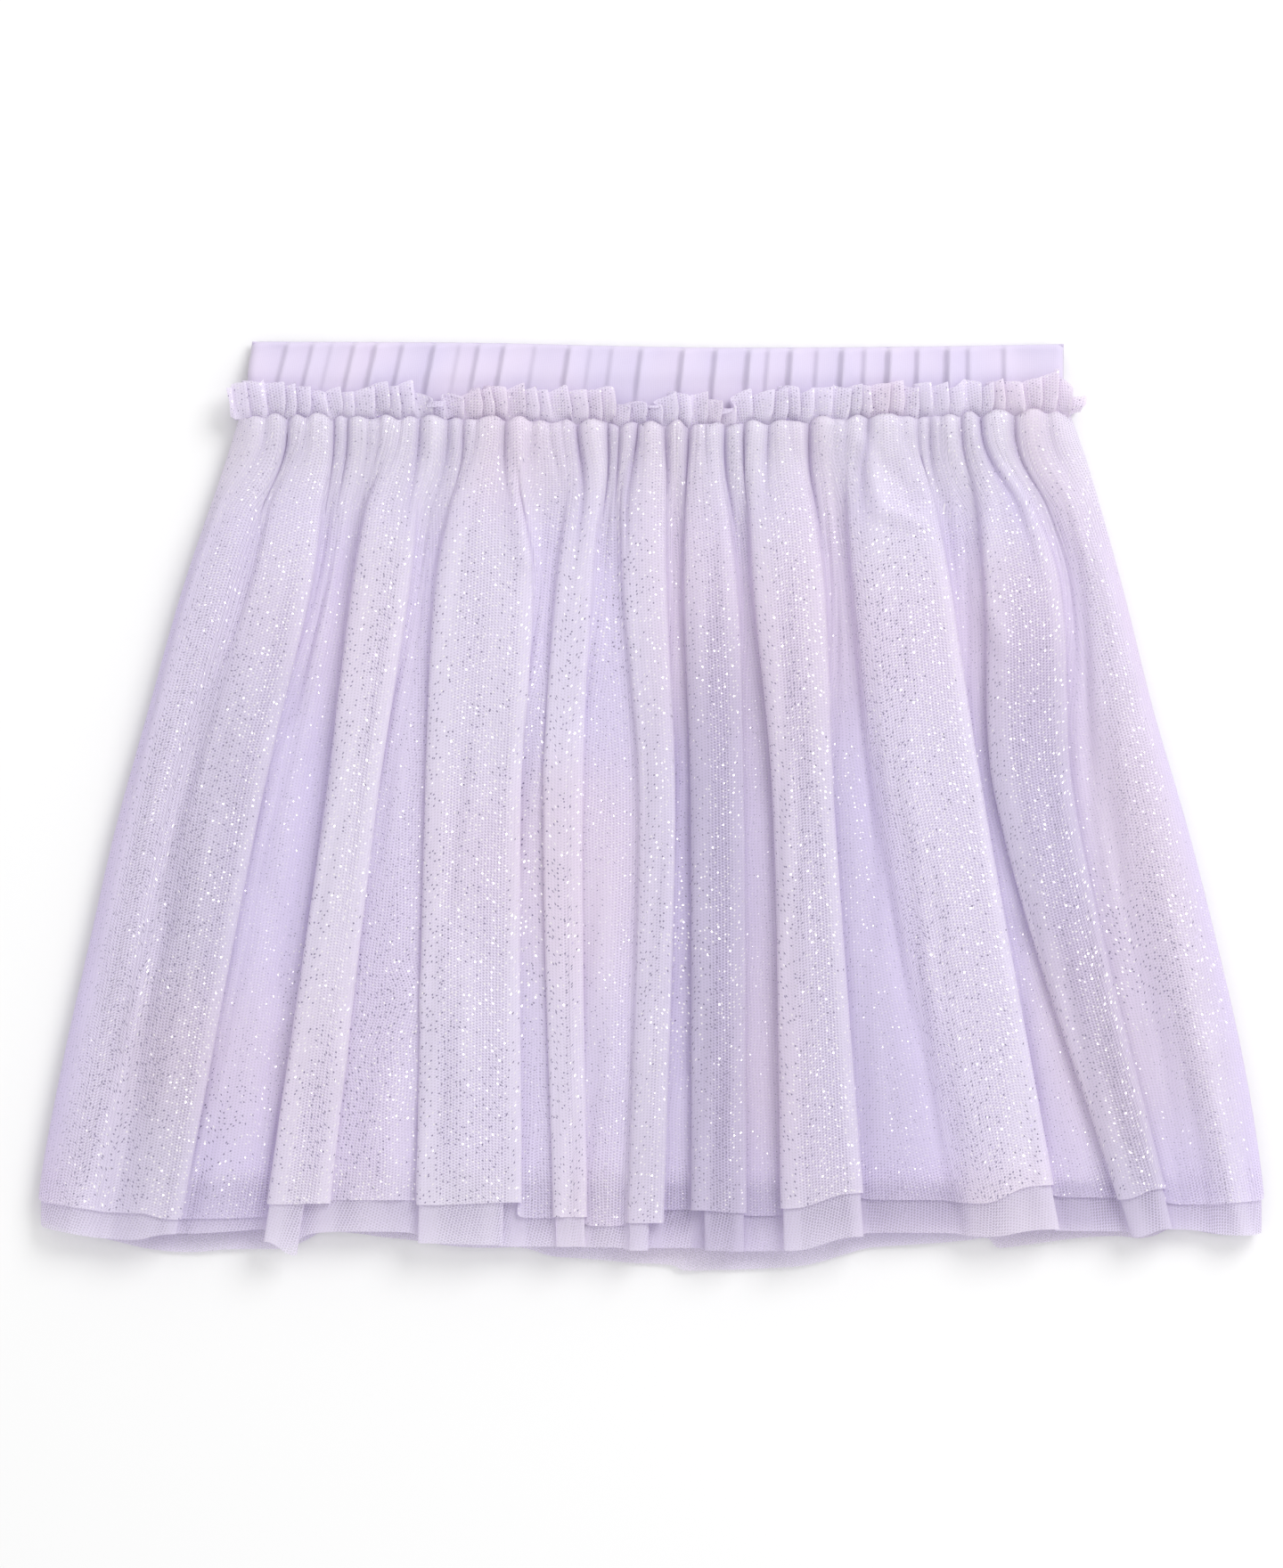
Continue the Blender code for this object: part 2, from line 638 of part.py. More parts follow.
def frill(half, material, collection):
    """The tulle header above the gathering line, in small waves."""
    front = half == "front"
    columns = WAVE_COLUMNS * (FRONT_FRILL_WAVES if front else BACK_FRILL_WAVES)
    frill_rows = FRILL_ROWS[half]
    middle = SEAM_Z - NET_PITCH / 2 if front else NET_WALL / 2

    def point(column, row, _):
        shape = frill_rows[round(row)]
        x = mix(FRILL_LEFT_X, FRILL_RIGHT_X, column / columns)
        tall = FRILL_HEIGHT + wobble(FRILL_WOBBLES, x)
        if front:
            tall += sum(peak.extra * math.exp(-(((x - peak.x) / peak.width) ** 2)) for peak in FRILL_PEAKS)
        phase = 2 * math.pi * column / WAVE_COLUMNS
        y = line_y(SEAM_LINE, x) + SEAM_GAP / 2 + tall * row / (len(frill_rows) - 1)
        z = middle + shape.rise + shape.swing * math.cos(phase)
        return Vector((x + shape.lean * math.sin(phase), y, z))

    grid = parameter_grid(columns, len(frill_rows) - 1)
    return place_piece(f"frill_{half}", grid, point, material, collection, NET_WALL)


def clear_scene():
    """Removes what the scene holds."""
    for item in list(bpy.data.objects):
        bpy.data.objects.remove(item, do_unlink=True)


def build():
    """Makes the whole garment."""
    clear_scene()
    collection = bpy.data.collections.new("tutu_skort")
    bpy.context.scene.collection.children.link(collection)
    tulles = {
        "glitter": make_material("glitter_tulle", GLITTER_LILAC, 0.45),
        "plain": make_material("plain_tulle", PLAIN_LILAC, 0.7),
    }
    band = make_material("band_jersey", BAND_LILAC, 0.85)
    knit = make_material("shorts_jersey", SHORTS_LILAC, 0.85)
    columns = front_columns()
    for half in ("back", "front"):
        waistband_half(half, band, collection)
        frill(half, tulles["glitter"], collection)
        for side in ("left", "right"):
            shorts_panel(half, side, knit, collection)
    for layer, material in tulles.items():
        back_tulle(layer, material, collection)
        front_tulle(layer, columns, material, collection)


build()
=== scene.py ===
"""Looks of a tutu skort that lies flat: glitter tulle over plain tulle over knit shorts, on a gathered waistband.

Sizes are in millimetres, and MM turns them to metres where a piece is placed. X runs along the waist, +Y points from
the hem to the waist and +Z is up. The front's folds, the edges and the heights repeat those of the solids.
"""

import logging
import math
from dataclasses import dataclass, field
from enum import Enum
from typing import NamedTuple, Sequence

import bmesh
import bpy
import numpy as np
from mathutils import Matrix, Vector

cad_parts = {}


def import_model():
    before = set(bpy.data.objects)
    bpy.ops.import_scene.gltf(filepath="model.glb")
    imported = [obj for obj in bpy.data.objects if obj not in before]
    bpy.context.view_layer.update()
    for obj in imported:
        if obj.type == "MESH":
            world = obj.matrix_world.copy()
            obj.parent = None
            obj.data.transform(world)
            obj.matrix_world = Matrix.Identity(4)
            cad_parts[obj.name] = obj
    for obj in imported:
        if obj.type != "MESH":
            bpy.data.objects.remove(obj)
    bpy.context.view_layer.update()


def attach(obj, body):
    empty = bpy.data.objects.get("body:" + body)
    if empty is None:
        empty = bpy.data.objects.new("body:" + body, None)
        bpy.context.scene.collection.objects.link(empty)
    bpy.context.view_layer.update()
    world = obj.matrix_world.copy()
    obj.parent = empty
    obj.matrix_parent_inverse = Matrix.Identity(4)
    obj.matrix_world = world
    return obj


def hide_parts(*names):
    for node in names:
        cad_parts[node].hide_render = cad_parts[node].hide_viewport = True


LOG = logging.getLogger("tutu_skort")
BODY = "root"
MM = 0.001

# Photograph: its frame, and the object's origin in it.
IMAGE_SIZE_PX = (1440.0, 1760.0)
ORIGIN_PX = (731.0, 903.5)
MM_PER_PX = 0.29

# Heights of the layers above the table, from the solids.
LAYER_GAP = 0.3
SEAM_GAP = 0.3
SEAM_OVERLAP = 0.12
NET_HALF = 1.2
KNIT_WALL = 1.2
BAND_WALL = 2.4
BACK_Z = NET_HALF
SHORTS_BACK_Z = 4.1
SHORTS_FRONT_Z = 5.6
VALLEY_Z = 7.7
BAND_BACK_Z = 2.7
BAND_FRONT_Z = 5.4
SEAM_Z = 9.3
SIDE_Z = 4.2
REST_Z = 0.35

# Row whose width the flat cloth has, as a share of the way down a skirt.
FLAT_ROW = 0.85
# Cells of the table that soft patches are read from.
NOISE_CELLS = 64


class Layer(Enum):
    """The two tulles of the skirt."""

    GLITTER = "glitter"
    PLAIN = "plain"


class Side(Enum):
    """The wearer's sides as they lie in the picture."""

    LEFT = "left"
    RIGHT = "right"


class Half(Enum):
    """The two halves of the garment."""

    FRONT = "front"
    BACK = "back"


class Level(NamedTuple):
    """The left and right edge of a piece at one height."""

    y: float
    left: float
    right: float


class Mark(NamedTuple):
    """A point of a line that runs across the garment."""

    x: float
    y: float


class Groove(NamedTuple):
    """A pressed-in line between two gathers, with its place across the garment and its depth."""

    x: float
    depth: float


class Crease(NamedTuple):
    """A soft ridge, or a trough where its height is negative, along a path on the front.

    Attributes:
        height: Height of its middle.
        width: Its half width.
        path: The points that it runs through.
    """

    height: float
    width: float
    path: tuple[Mark, ...]


class Pleat(NamedTuple):
    """A pressed pleat of the back.

    Attributes:
        x: Its place on the hem.
        width: Half width of the rise that it leaves in the plain layer.
        height: How strongly it rises, which each layer multiplies by a lift of its own.
    """

    x: float
    width: float
    height: float


class Fold(NamedTuple):
    """One fold of the front tulle.

    Attributes:
        name: Its name.
        left: Its left edge at each of the heights in FOLD_LEVELS.
        right: Its right edge at the same heights.
        height: Its height above the valleys, before FOLD_SINK lowers it.
        under_left: How far its left edge is tucked under, or slopes out where this is negative.
        under_right: The same for its right edge.
        floor: Height of the valley on its right above the deepest ones.
        swell: How much further that valley rises towards the hem.
        glitter_hem: Hem of the glitter tulle at the fold's left, at its right and in the valley on its right.
        plain_hem: The same for the plain tulle.
    """

    name: str
    left: tuple[float, ...]
    right: tuple[float, ...]
    height: float
    under_left: float
    under_right: float
    floor: float
    swell: float
    glitter_hem: tuple[float, float, float]
    plain_hem: tuple[float, float, float]


class Column(NamedTuple):
    """A control point of every section.

    Attributes:
        part: Its part of a fold, or the side that it belongs to.
        index: Number of the fold, or of the point at a side.
    """

    part: str
    index: int


OUTLINE = (
    Level(126.0, -135.1, 137.8),
    Level(110.0, -140.1, 143.3),
    Level(70.0, -153.7, 154.6),
    Level(31.0, -164.7, 164.4),
    Level(-8.0, -175.5, 175.7),
    Level(-47.0, -184.4, 185.6),
    Level(-86.0, -193.1, 194.3),
    Level(-125.0, -200.2, 200.3),
    Level(-142.0, -200.6, 200.6),
)
BAND_SIDES = (
    Level(120.0, -131.4, 133.9),
    Level(140.0, -131.6, 134.4),
    Level(151.0, -130.2, 134.6),
)
SHORTS_SIDES = (
    Level(124.0, -131.0, 134.0),
    Level(60.0, -138.5, 139.5),
    Level(-20.0, -146.0, 143.5),
    Level(-94.0, -149.5, 144.0),
    Level(-123.0, -149.5, 142.0),
)
CROTCH = Mark(1.2, -66.0)
INSEAM = (
    Level(CROTCH.y, CROTCH.x, CROTCH.x),
    Level(-97.0, -3.0, 9.0),
    Level(-123.0, -9.0, 20.0),
)
SHORTS_HEMS = {Side.LEFT: -120.0, Side.RIGHT: -122.5}
SEAM_LINE = (
    Mark(-138.0, 126.3),
    Mark(-60.0, 125.4),
    Mark(14.0, 123.6),
    Mark(80.0, 126.0),
    Mark(140.0, 127.8),
)
BAND_TOP = (
    Mark(-138.0, 151.2),
    Mark(-60.0, 150.8),
    Mark(14.0, 149.3),
    Mark(80.0, 149.5),
    Mark(140.0, 150.5),
)
BACK_HEMS = {
    Layer.PLAIN: (
        Mark(-198.1, -135.9), Mark(-191.7, -138.5), Mark(-183.0, -140.4), Mark(-174.3, -142.5), Mark(-165.6, -144.6),
        Mark(-156.9, -145.7), Mark(-148.2, -145.9), Mark(-139.5, -145.1), Mark(-129.3, -144.9), Mark(-119.2, -144.6),
        Mark(-111.9, -141.7), Mark(-108.2, -139.6), Mark(-103.2, -139.3), Mark(-96.0, -139.9), Mark(-87.3, -141.1),
        Mark(-78.6, -142.0), Mark(-72.8, -142.8), Mark(-67.0, -143.7), Mark(-61.2, -144.3), Mark(-52.5, -144.6),
        Mark(-43.8, -144.4), Mark(-39.4, -145.1), Mark(-35.1, -146.6), Mark(-30.7, -147.5), Mark(-23.5, -147.9),
        Mark(-14.8, -148.6), Mark(-6.1, -149.5), Mark(2.6, -149.8), Mark(7.5, -150.4), Mark(10.4, -151.8),
        Mark(20.0, -151.8), Mark(31.6, -151.5), Mark(43.2, -150.9), Mark(49.0, -150.4), Mark(54.8, -149.2),
        Mark(60.6, -147.5), Mark(66.4, -145.7), Mark(70.8, -144.6), Mark(78.0, -144.0), Mark(86.7, -143.4),
        Mark(95.4, -142.8), Mark(104.1, -142.0), Mark(110.2, -141.5), Mark(112.5, -144.3), Mark(114.8, -144.6),
        Mark(121.5, -143.7), Mark(130.2, -142.5), Mark(138.9, -141.4), Mark(147.6, -140.8), Mark(153.4, -140.8),
        Mark(159.2, -141.4), Mark(164.4, -140.5), Mark(168.5, -138.5), Mark(172.3, -137.6), Mark(176.6, -138.5),
        Mark(181.0, -139.6), Mark(186.8, -140.2), Mark(194.0, -139.9), Mark(200.1, -139.6),
    ),
    Layer.GLITTER: (
        Mark(-200.0, -128.0),
        Mark(-100.0, -133.0),
        Mark(15.0, -138.0),
        Mark(100.0, -133.0),
        Mark(200.0, -127.0),
    ),
}
WAIST_Y = SEAM_LINE[0].y
# How the gathers pull the line: height, wavelength and start of each wave.
SEAM_PULLS = ((0.6, 7.3, 0.1), (0.55, 11.9, 0.6), (0.35, 4.6, 0.3))

# Folds of the front, as in the solids.
SEAM_RISE = 0.12
FOLD_SINK = 0.72
FOLD_RISE = 45.0
FAN_OUT = 30.0
TUCK_START = 50.0
TUCK_END = 100.0
SWELL_END = 200.0
OPEN_SLOPE = 1.2
LOW_SHARE = 0.4
HIGH_SHARE = 0.9
CREST_LEFT = 0.3
CREST_RIGHT = 0.7
SOFT_CREST = 1.3
SOFTEST_SHARE = 0.35
SIDE_COLUMNS = 3
SIDE_BEND = 0.6
SIDE_INSET = 2.0
SIDE_LIFT = 0.4
CORNER_LIFTS = {"left": (2.5, 1.5, 0.5), "right": (2.0, 0.5, 0.0)}
FOLD_LEVELS = (117.0, 73.5, 1.0, -135.0)

# name, left edges, right edges, height, tucks left and right, valley floor and swell, glitter hems, plain hems
FRONT_FOLDS = (
    Fold("side_left", (-134.3, -149.5, -168.0, -193.0), (-121.5, -135.5, -157.5, -182.0),
         4.5, 0.0, 0.0, 3.0, 0.0, (-130.1, -131.8, -132.5),
         (-138.5, -140.5, -141.0)),
    Fold("left_panel", (-118.6, -129.6, -151.7, -174.3), (-105.9, -110.5, -127.0, -153.1),
         7.5, -1.5, 3.5, 0.8, 0.0, (-132.7, -134.7, -134.7),
         (-141.4, -139.6, -139.6)),
    Fold("left_hollow", (-100.0, -105.5, -121.5, -147.0), (-94.5, -100.9, -113.4, -130.3),
         2.0, 0.0, 0.0, 0.0, 0.0, (-134.7, -134.4, -134.2),
         (-139.6, -138.5, -138.2)),
    Fold("left_wide", (-88.7, -96.6, -105.8, -125.6), (-75.4, -78.6, -89.3, -105.3),
         8.0, 2.5, 2.5, 1.5, 3.2, (-129.8, -129.5, -128.5),
         (-142.0, -146.5, -138.8)),
    Fold("left_broad", (-60.0, -69.6, -73.4, -76.3), (-47.3, -39.1, -42.6, -42.3),
         8.0, 2.5, 3.0, 2.2, 0.0, (-130.0, -129.2, -134.4),
         (-142.5, -143.1, -143.7)),
    Fold("centre_left", (-24.1, -30.4, -34.8, -31.6), (-14.5, -19.4, -22.6, -21.2),
         6.5, 1.5, 1.5, 1.5, 2.0, (-134.0, -134.0, -137.0),
         (-143.7, -143.7, -144.0)),
    Fold("centre", (-9.6, -9.0, -3.8, -7.5), (4.5, 4.6, 7.5, 3.8),
         6.5, -2.0, 3.0, 0.0, 0.0, (-135.9, -135.9, -131.8),
         (-144.9, -144.9, -144.3)),
    Fold("centre_right", (12.2, 11.0, 13.0, 13.3), (20.9, 27.5, 29.9, 30.7),
         6.0, 1.5, 2.5, 0.0, 0.0, (-131.8, -132.7, -133.8),
         (-144.9, -145.3, -145.4)),
    Fold("right_narrow", (31.6, 33.3, 39.7, 42.3), (48.7, 55.7, 59.2, 69.3),
         8.0, 2.5, 3.0, 0.0, 2.2, (-131.2, -126.2, -128.6),
         (-145.0, -140.4, -139.3)),
    Fold("right_broad", (63.2, 65.3, 70.5, 97.7), (88.2, 96.6, 108.2, 132.8),
         8.5, 1.0, 3.5, 0.0, 1.2, (-129.5, -123.6, -127.8),
         (-140.4, -138.0, -138.8)),
    Fold("right_slim", (104.1, 108.7, 112.4, 154.0), (115.1, 132.2, 137.5, 169.4),
         7.0, 1.5, 3.0, 0.0, 0.0, (-128.2, -124.8, -130.1),
         (-140.6, -137.8, -138.3)),
    Fold("side_right", (124.4, 137.9, 147.6, 184.2), (134.0, 149.0, 167.8, 195.4),
         5.0, 0.0, 0.0, 2.0, 0.0, (-130.0, -129.0, -128.6),
         (-140.2, -140.0, -140.0)),
)
# How much narrower the plain layer's folds are at the hem, on the left and on the right.
PLAIN_INSETS = {"left_wide": (0.0, 8.0), "left_broad": (0.0, 5.5), "centre": (0.0, 4.0), "centre_right": (3.5, 0.0)}
INSET_START = 190.0
INSET_END = 268.0
# Folds that rise in a soft slope on the left, with its width.
SOFT_SLOPES = {"left_panel": 9.0, "right_broad": 14.0}
SLOPE_START = 25.0
SLOPE_END = 170.0
# Folds on which shade is painted, with how strongly it darkens them.
PAINTED_SHADE_FOLDS = {"left_panel": 0.2, "centre": 0.15, "centre_right": 0.5, "right_narrow": 0.15, "right_slim": 0.35}
# The same for the valleys on the right of folds.
PAINTED_SHADE_VALLEYS = {"centre_right": 0.15, "right_narrow": 0.2}
SOFT_PARTS = ("foot_left", "crest", "foot_right")
FOLD_PARTS = (
    "under_left", "low_left", "high_left", "crest_left",
    "crest_right", "high_right", "low_right", "under_right",
)

# The small gathers under the seam, as the grooves between them on the gathering line.
GATHERS = (
    Groove(-136.0, 0.1), Groove(-125.3, 0.8), Groove(-118.3, 1.5), Groove(-111.9, 0.7), Groove(-103.2, 1.2),
    Groove(-98.9, 1.3), Groove(-92.2, 0.7), Groove(-88.5, 0.9), Groove(-81.5, 0.5), Groove(-75.4, 1.6),
    Groove(-66.1, 1.2), Groove(-61.2, 1.1), Groove(-56.8, 0.4), Groove(-47.6, 1.2), Groove(-38.9, 0.6),
    Groove(-33.4, 0.6), Groove(-29.3, 0.7), Groove(-24.1, 1.9), Groove(-14.2, 1.6), Groove(-10.4, 1.4),
    Groove(-4.4, 2.1), Groove(4.4, 1.5), Groove(12.2, 2.0), Groove(17.7, 0.9), Groove(23.8, 1.6),
    Groove(30.2, 1.3), Groove(38.0, 1.1), Groove(44.7, 0.5), Groove(51.3, 2.2), Groove(59.7, 0.5),
    Groove(63.2, 0.9), Groove(70.5, 1.5), Groove(81.2, 0.8), Groove(86.4, 1.0), Groove(90.5, 1.1),
    Groove(94.0, 0.8), Groove(100.9, 1.1), Groove(107.0, 2.5), Groove(118.0, 2.0), Groove(128.5, 0.6),
    Groove(138.5, 0.1),
)
# The gathers of the waistband, measured half way up what shows of it.
BAND_GROOVES = (
    Groove(-120.6, 0.8), Groove(-112.2, 0.8), Groove(-106.1, 0.4), Groove(-98.6, 0.9), Groove(-91.4, 1.2),
    Groove(-82.7, 0.9), Groove(-72.2, 1.2), Groove(-64.1, 0.4), Groove(-57.7, 0.9), Groove(-49.3, 1.0),
    Groove(-39.2, 0.4), Groove(-27.8, 1.1), Groove(-20.9, 0.4), Groove(-13.9, 0.5), Groove(-4.1, 1.0),
    Groove(9.6, 1.2), Groove(20.3, 1.1), Groove(31.3, 1.2), Groove(37.4, 0.7), Groove(45.0, 1.3),
    Groove(53.4, 0.6), Groove(61.8, 1.3), Groove(69.0, 0.7), Groove(77.1, 1.4), Groove(86.4, 0.9),
    Groove(96.3, 1.3), Groove(103.0, 0.8), Groove(114.8, 0.7),
)
CREASES = (
    Crease(1.4, 3.0, (Mark(-44.7, 124.0), Mark(-43.0, 100.0), Mark(-40.3, 79.0))),
    Crease(-1.0, 2.5, (Mark(-61.2, 15.5), Mark(-65.3, -36.4))),
    Crease(1.6, 2.5, (Mark(68.7, 118.2), Mark(74.2, 96.1), Mark(86.4, 91.5))),
    Crease(-1.2, 4.0, (Mark(78.0, 108.0), Mark(84.0, 100.0))),
    Crease(1.4, 6.0, (Mark(-78.6, -62.2), Mark(-87.9, -113.8))),
    Crease(-1.0, 3.0, (Mark(70.8, 15.5), Mark(71.9, -45.4))),
    Crease(1.2, 3.0, (Mark(106.4, 120.5), Mark(110.8, 96.1), Mark(107.6, 69.5), Mark(114.3, 51.8))),
    Crease(-0.9, 4.0, (Mark(-122.7, -29.7), Mark(-122.7, -62.2))),
    Crease(-0.9, 5.0, (Mark(-163.0, 20.0), Mark(-186.0, -118.0))),
    Crease(-1.0, 6.0, (Mark(118.0, -40.0), Mark(124.0, -112.0))),
    Crease(0.9, 6.0, (Mark(-60.0, -58.0), Mark(-62.0, -118.0))),
)
# Where the frill's top edge curls over, with how far it does.
FRILL_CURLS = (Groove(-69.0, 0.75), Groove(-62.0, 0.5), Groove(-7.0, 0.7), Groove(1.5, 0.6), Groove(24.0, 0.8))
BACK_PLEATS = (
    Pleat(-176.0, 7.0, 0.6), Pleat(-140.0, 9.0, 0.8), Pleat(-104.0, 6.0, 0.6), Pleat(-62.0, 8.0, 0.7),
    Pleat(-24.0, 6.0, 0.6), Pleat(11.0, 4.5, 1.1), Pleat(46.0, 8.0, 0.6), Pleat(88.0, 6.0, 0.8),
    Pleat(127.0, 8.0, 0.7), Pleat(165.0, 7.0, 0.6),
)


def ramp(value: float, start: float, end: float) -> float:
    """Returns 0 before start, 1 after end, and a smooth step between them."""
    share = min(max((value - start) / (end - start), 0.0), 1.0)
    return share * share * (3.0 - 2.0 * share)


def ramps(values: np.ndarray, start: float, end: float) -> np.ndarray:
    """Returns the smooth step of ramp for each of several values."""
    share = np.clip((values - start) / (end - start), 0.0, 1.0)
    return share * share * (3.0 - 2.0 * share)


def mix(first: float, second: float, share: float) -> float:
    """Returns the value that lies a share of the way from first to second."""
    return first + (second - first) * share


def curve(stations: Sequence[float], values: Sequence[float], place: float) -> float:
    """Reads a smooth curve that runs on straight beyond its ends.

    Args:
        stations: Places along the curve, rising or falling.
        values: The curve's value at each station.
        place: Where to read it.

    Returns:
        The curve's value at place.
    """
    if stations[0] > stations[-1]:
        stations = stations[::-1]
        values = values[::-1]
    last = len(stations) - 1
    slopes = []
    for i in range(last + 1):
        low = max(i - 1, 0)
        high = min(i + 1, last)
        slopes.append((values[high] - values[low]) / (stations[high] - stations[low]))
    if place <= stations[0]:
        return values[0] + slopes[0] * (place - stations[0])
    if place >= stations[last]:
        return values[last] + slopes[last] * (place - stations[last])
    i = max(k for k in range(last) if stations[k] <= place)
    width = stations[i + 1] - stations[i]
    t = (place - stations[i]) / width
    start = (1 + 2 * t) * (1 - t) ** 2 * values[i] + t * (1 - t) ** 2 * width * slopes[i]
    end = t * t * (3 - 2 * t) * values[i + 1] + t * t * (t - 1) * width * slopes[i + 1]
    return start + end


def line_y(marks: Sequence[Mark], x: float) -> float:
    """Returns the height of a line across the garment at x."""
    return curve([mark.x for mark in marks], [mark.y for mark in marks], x)


def seam_y(x: float) -> float:
    """Returns the height of the gathering line at x, which the gathers pull up and down a little."""
    pull = sum(size * math.sin(2 * math.pi * (x / length + shift)) for size, length, shift in SEAM_PULLS)
    return line_y(SEAM_LINE, x) + pull


def edge_x(levels: Sequence[Level], y: float, side: Side) -> float:
    """Returns the left or right edge of a piece at height y."""
    edges = [level.left if side is Side.LEFT else level.right for level in levels]
    return curve([level.y for level in levels], edges, y)


def waves(places: np.ndarray, lengths: Sequence[float], seed: int) -> np.ndarray:
    """Adds sine waves of given lengths with random starts, for cloth that is uneven.

    Args:
        places: Places along the cloth.
        lengths: Wavelengths.
        seed: Seed of the random starts.

    Returns:
        Values of about -1 to 1.
    """
    random = np.random.default_rng(seed)
    total = sum(np.sin(2 * math.pi * (places / length + random.random())) for length in lengths)
    return total / math.sqrt(len(lengths))


def patches(flat: np.ndarray, width: float, length: float, low: float, high: float, seed: int) -> np.ndarray:
    """Gives soft uneven patches on cloth laid flat.

    Args:
        flat: Grid of flat places.
        width: Usual width of a patch.
        length: Usual length of one.
        low: Noise up to which the value is 0.
        high: Noise from which it is 1.
        seed: Seed of the patches.

    Returns:
        A value from 0 to 1 for each point.
    """
    table = np.random.default_rng(seed).random((NOISE_CELLS, NOISE_CELLS))
    across, down = flat[..., 0] / width, flat[..., 1] / length
    column, row = np.floor(across).astype(int), np.floor(down).astype(int)
    x, y = ramps(across - column, 0.0, 1.0), ramps(down - row, 0.0, 1.0)
    left, right = column % NOISE_CELLS, (column + 1) % NOISE_CELLS
    above, below = row % NOISE_CELLS, (row + 1) % NOISE_CELLS
    upper = mix(table[above, left], table[above, right], x)
    lower = mix(table[below, left], table[below, right], x)
    return ramps(mix(upper, lower, y), low, high)


def cloth_marks(
    surface: np.ndarray,
    flat: np.ndarray,
    lift: np.ndarray,
    closed: np.ndarray,
    painted_shade: np.ndarray,
) -> dict[str, np.ndarray]:
    """Gathers the marks that the tulle's material reads.

    Args:
        surface: Grid of points.
        flat: The same grid laid flat.
        lift: 0 in a valley and 1 on a ridge.
        closed: Where the cloth is packed or double, from 0 to 1.
        painted_shade: Where shade is painted on the threads, from 0 to 1.

    Returns:
        The named values.
    """
    bands = 0.6 * patches(flat, 8.0, 90.0, 0.5, 0.8, 5)
    # Painted glint and shade of the dots: on slopes that face the lamp on the right most dots are bright, on those
    # turned away most are dull, in random patches.
    turned = 0.5 - 3.0 * normals_of(surface)[..., 0] + 0.7 * (patches(flat, 15.0, 45.0, 0.2, 0.8, 7) - 0.5)
    return {
        "lift": np.clip(lift, 0.0, 1.0),
        "closed": np.clip(closed + bands, 0.0, 1.0),
        "blush": 0.6 * patches(flat, 40.0, 70.0, 0.4, 0.9, 6),
        "painted_dot_shade": np.clip(turned, 0.05, 0.92),
        "shown": np.clip(0.5 + 0.5 * lift + 0.5 * patches(flat, 30.0, 60.0, 0.5, 0.9, 9), 0.0, 1.0),
        # Painted shade, which the material mixes into the threads' colour.
        "painted_shade": np.clip(painted_shade, 0.0, 1.0),
    }


def puffs(places: np.ndarray, grooves: Sequence[Groove], groove_width: float) -> tuple[np.ndarray, np.ndarray]:
    """Gives the swell between grooves and the grooves themselves.

    Args:
        places: Places along the seam.
        grooves: The grooves, in order.
        groove_width: Half width of a groove.

    Returns:
        The swell, 1 on the middle of a usual gather, and the depth of the grooves.
    """
    stations = np.array([groove.x for groove in grooves])
    after = np.clip(np.searchsorted(stations, places), 1, len(stations) - 1)
    width = stations[after] - stations[after - 1]
    share = np.clip((places - stations[after - 1]) / width, 0.0, 1.0)
    swell = 4 * share * (1 - share) * np.minimum(width / 8.0, 1.2)
    depth = sum(g.depth * np.exp(-(((places - g.x) / groove_width) ** 2)) for g in grooves)
    return swell, depth


def ridges(places: np.ndarray, grooves: Sequence[Groove], rise: float, fall: float) -> np.ndarray:
    """Gives ridges that rise steeply at each groove and fall gently on its right.

    Args:
        places: Places along the seam.
        grooves: The grooves, whose depth is the height of their ridge.
        rise: Half width of the steep side.
        fall: Width over which the gentle side comes down to about a third.

    Returns:
        The height at each place.
    """
    lift = np.zeros(np.shape(places))
    for groove in grooves:
        after = np.maximum(places - groove.x - 0.5 * rise, 0.0)
        lift += groove.depth * ramps(places, groove.x - rise, groove.x + rise) * np.exp(-after / fall)
    return lift


def crease_lift(points: np.ndarray, creases: Sequence[Crease]) -> np.ndarray:
    """Gives how far the creases lift the cloth at each point.

    Args:
        points: Points with x and y as their first two values.
        creases: The creases.

    Returns:
        One height for each point.
    """
    lift = np.zeros(points.shape[:-1])
    for crease in creases:
        nearest = np.full(lift.shape, np.inf)
        for start, end in zip(crease.path[:-1], crease.path[1:]):
            run = np.array([end.x - start.x, end.y - start.y])
            offset = points[..., :2] - np.array([start.x, start.y])
            share = np.clip(offset @ run / (run @ run), 0.0, 1.0)
            nearest = np.minimum(nearest, np.linalg.norm(offset - share[..., None] * run, axis=-1))
        lift += crease.height * np.exp(-((nearest / crease.width) ** 2))
    return lift


def spline_matrix(count: int, splits: int) -> np.ndarray:
    """Makes the weights that turn control points to a finely divided cubic B-spline.

    Args:
        count: Number of control points.
        splits: Fine points for each control point.

    Returns:
        One row of weights for each fine point.
    """
    places = np.arange((count - 1) * splits + 1) / splits
    knots = np.minimum(places.astype(int), count - 2)
    t = places - knots
    weights = ((1 - t) ** 3, 3 * t**3 - 6 * t**2 + 4, -3 * t**3 + 3 * t**2 + 3 * t + 1, t**3)
    matrix = np.zeros((len(places), count))
    for step, weight in enumerate(weights):
        np.add.at(matrix, (np.arange(len(places)), np.clip(knots - 1 + step, 0, count - 1)), weight / 6)
    return matrix


def normals_of(surface: np.ndarray) -> np.ndarray:
    """Works out the upward unit normals of a grid.

    Args:
        surface: Grid of points whose rows run down the garment.

    Returns:
        A normal for each point.
    """
    across = np.gradient(surface, axis=1)
    along = -np.gradient(surface, axis=0)
    normals = np.cross(across, along)
    return normals / np.maximum(np.linalg.norm(normals, axis=-1, keepdims=True), 1e-9)


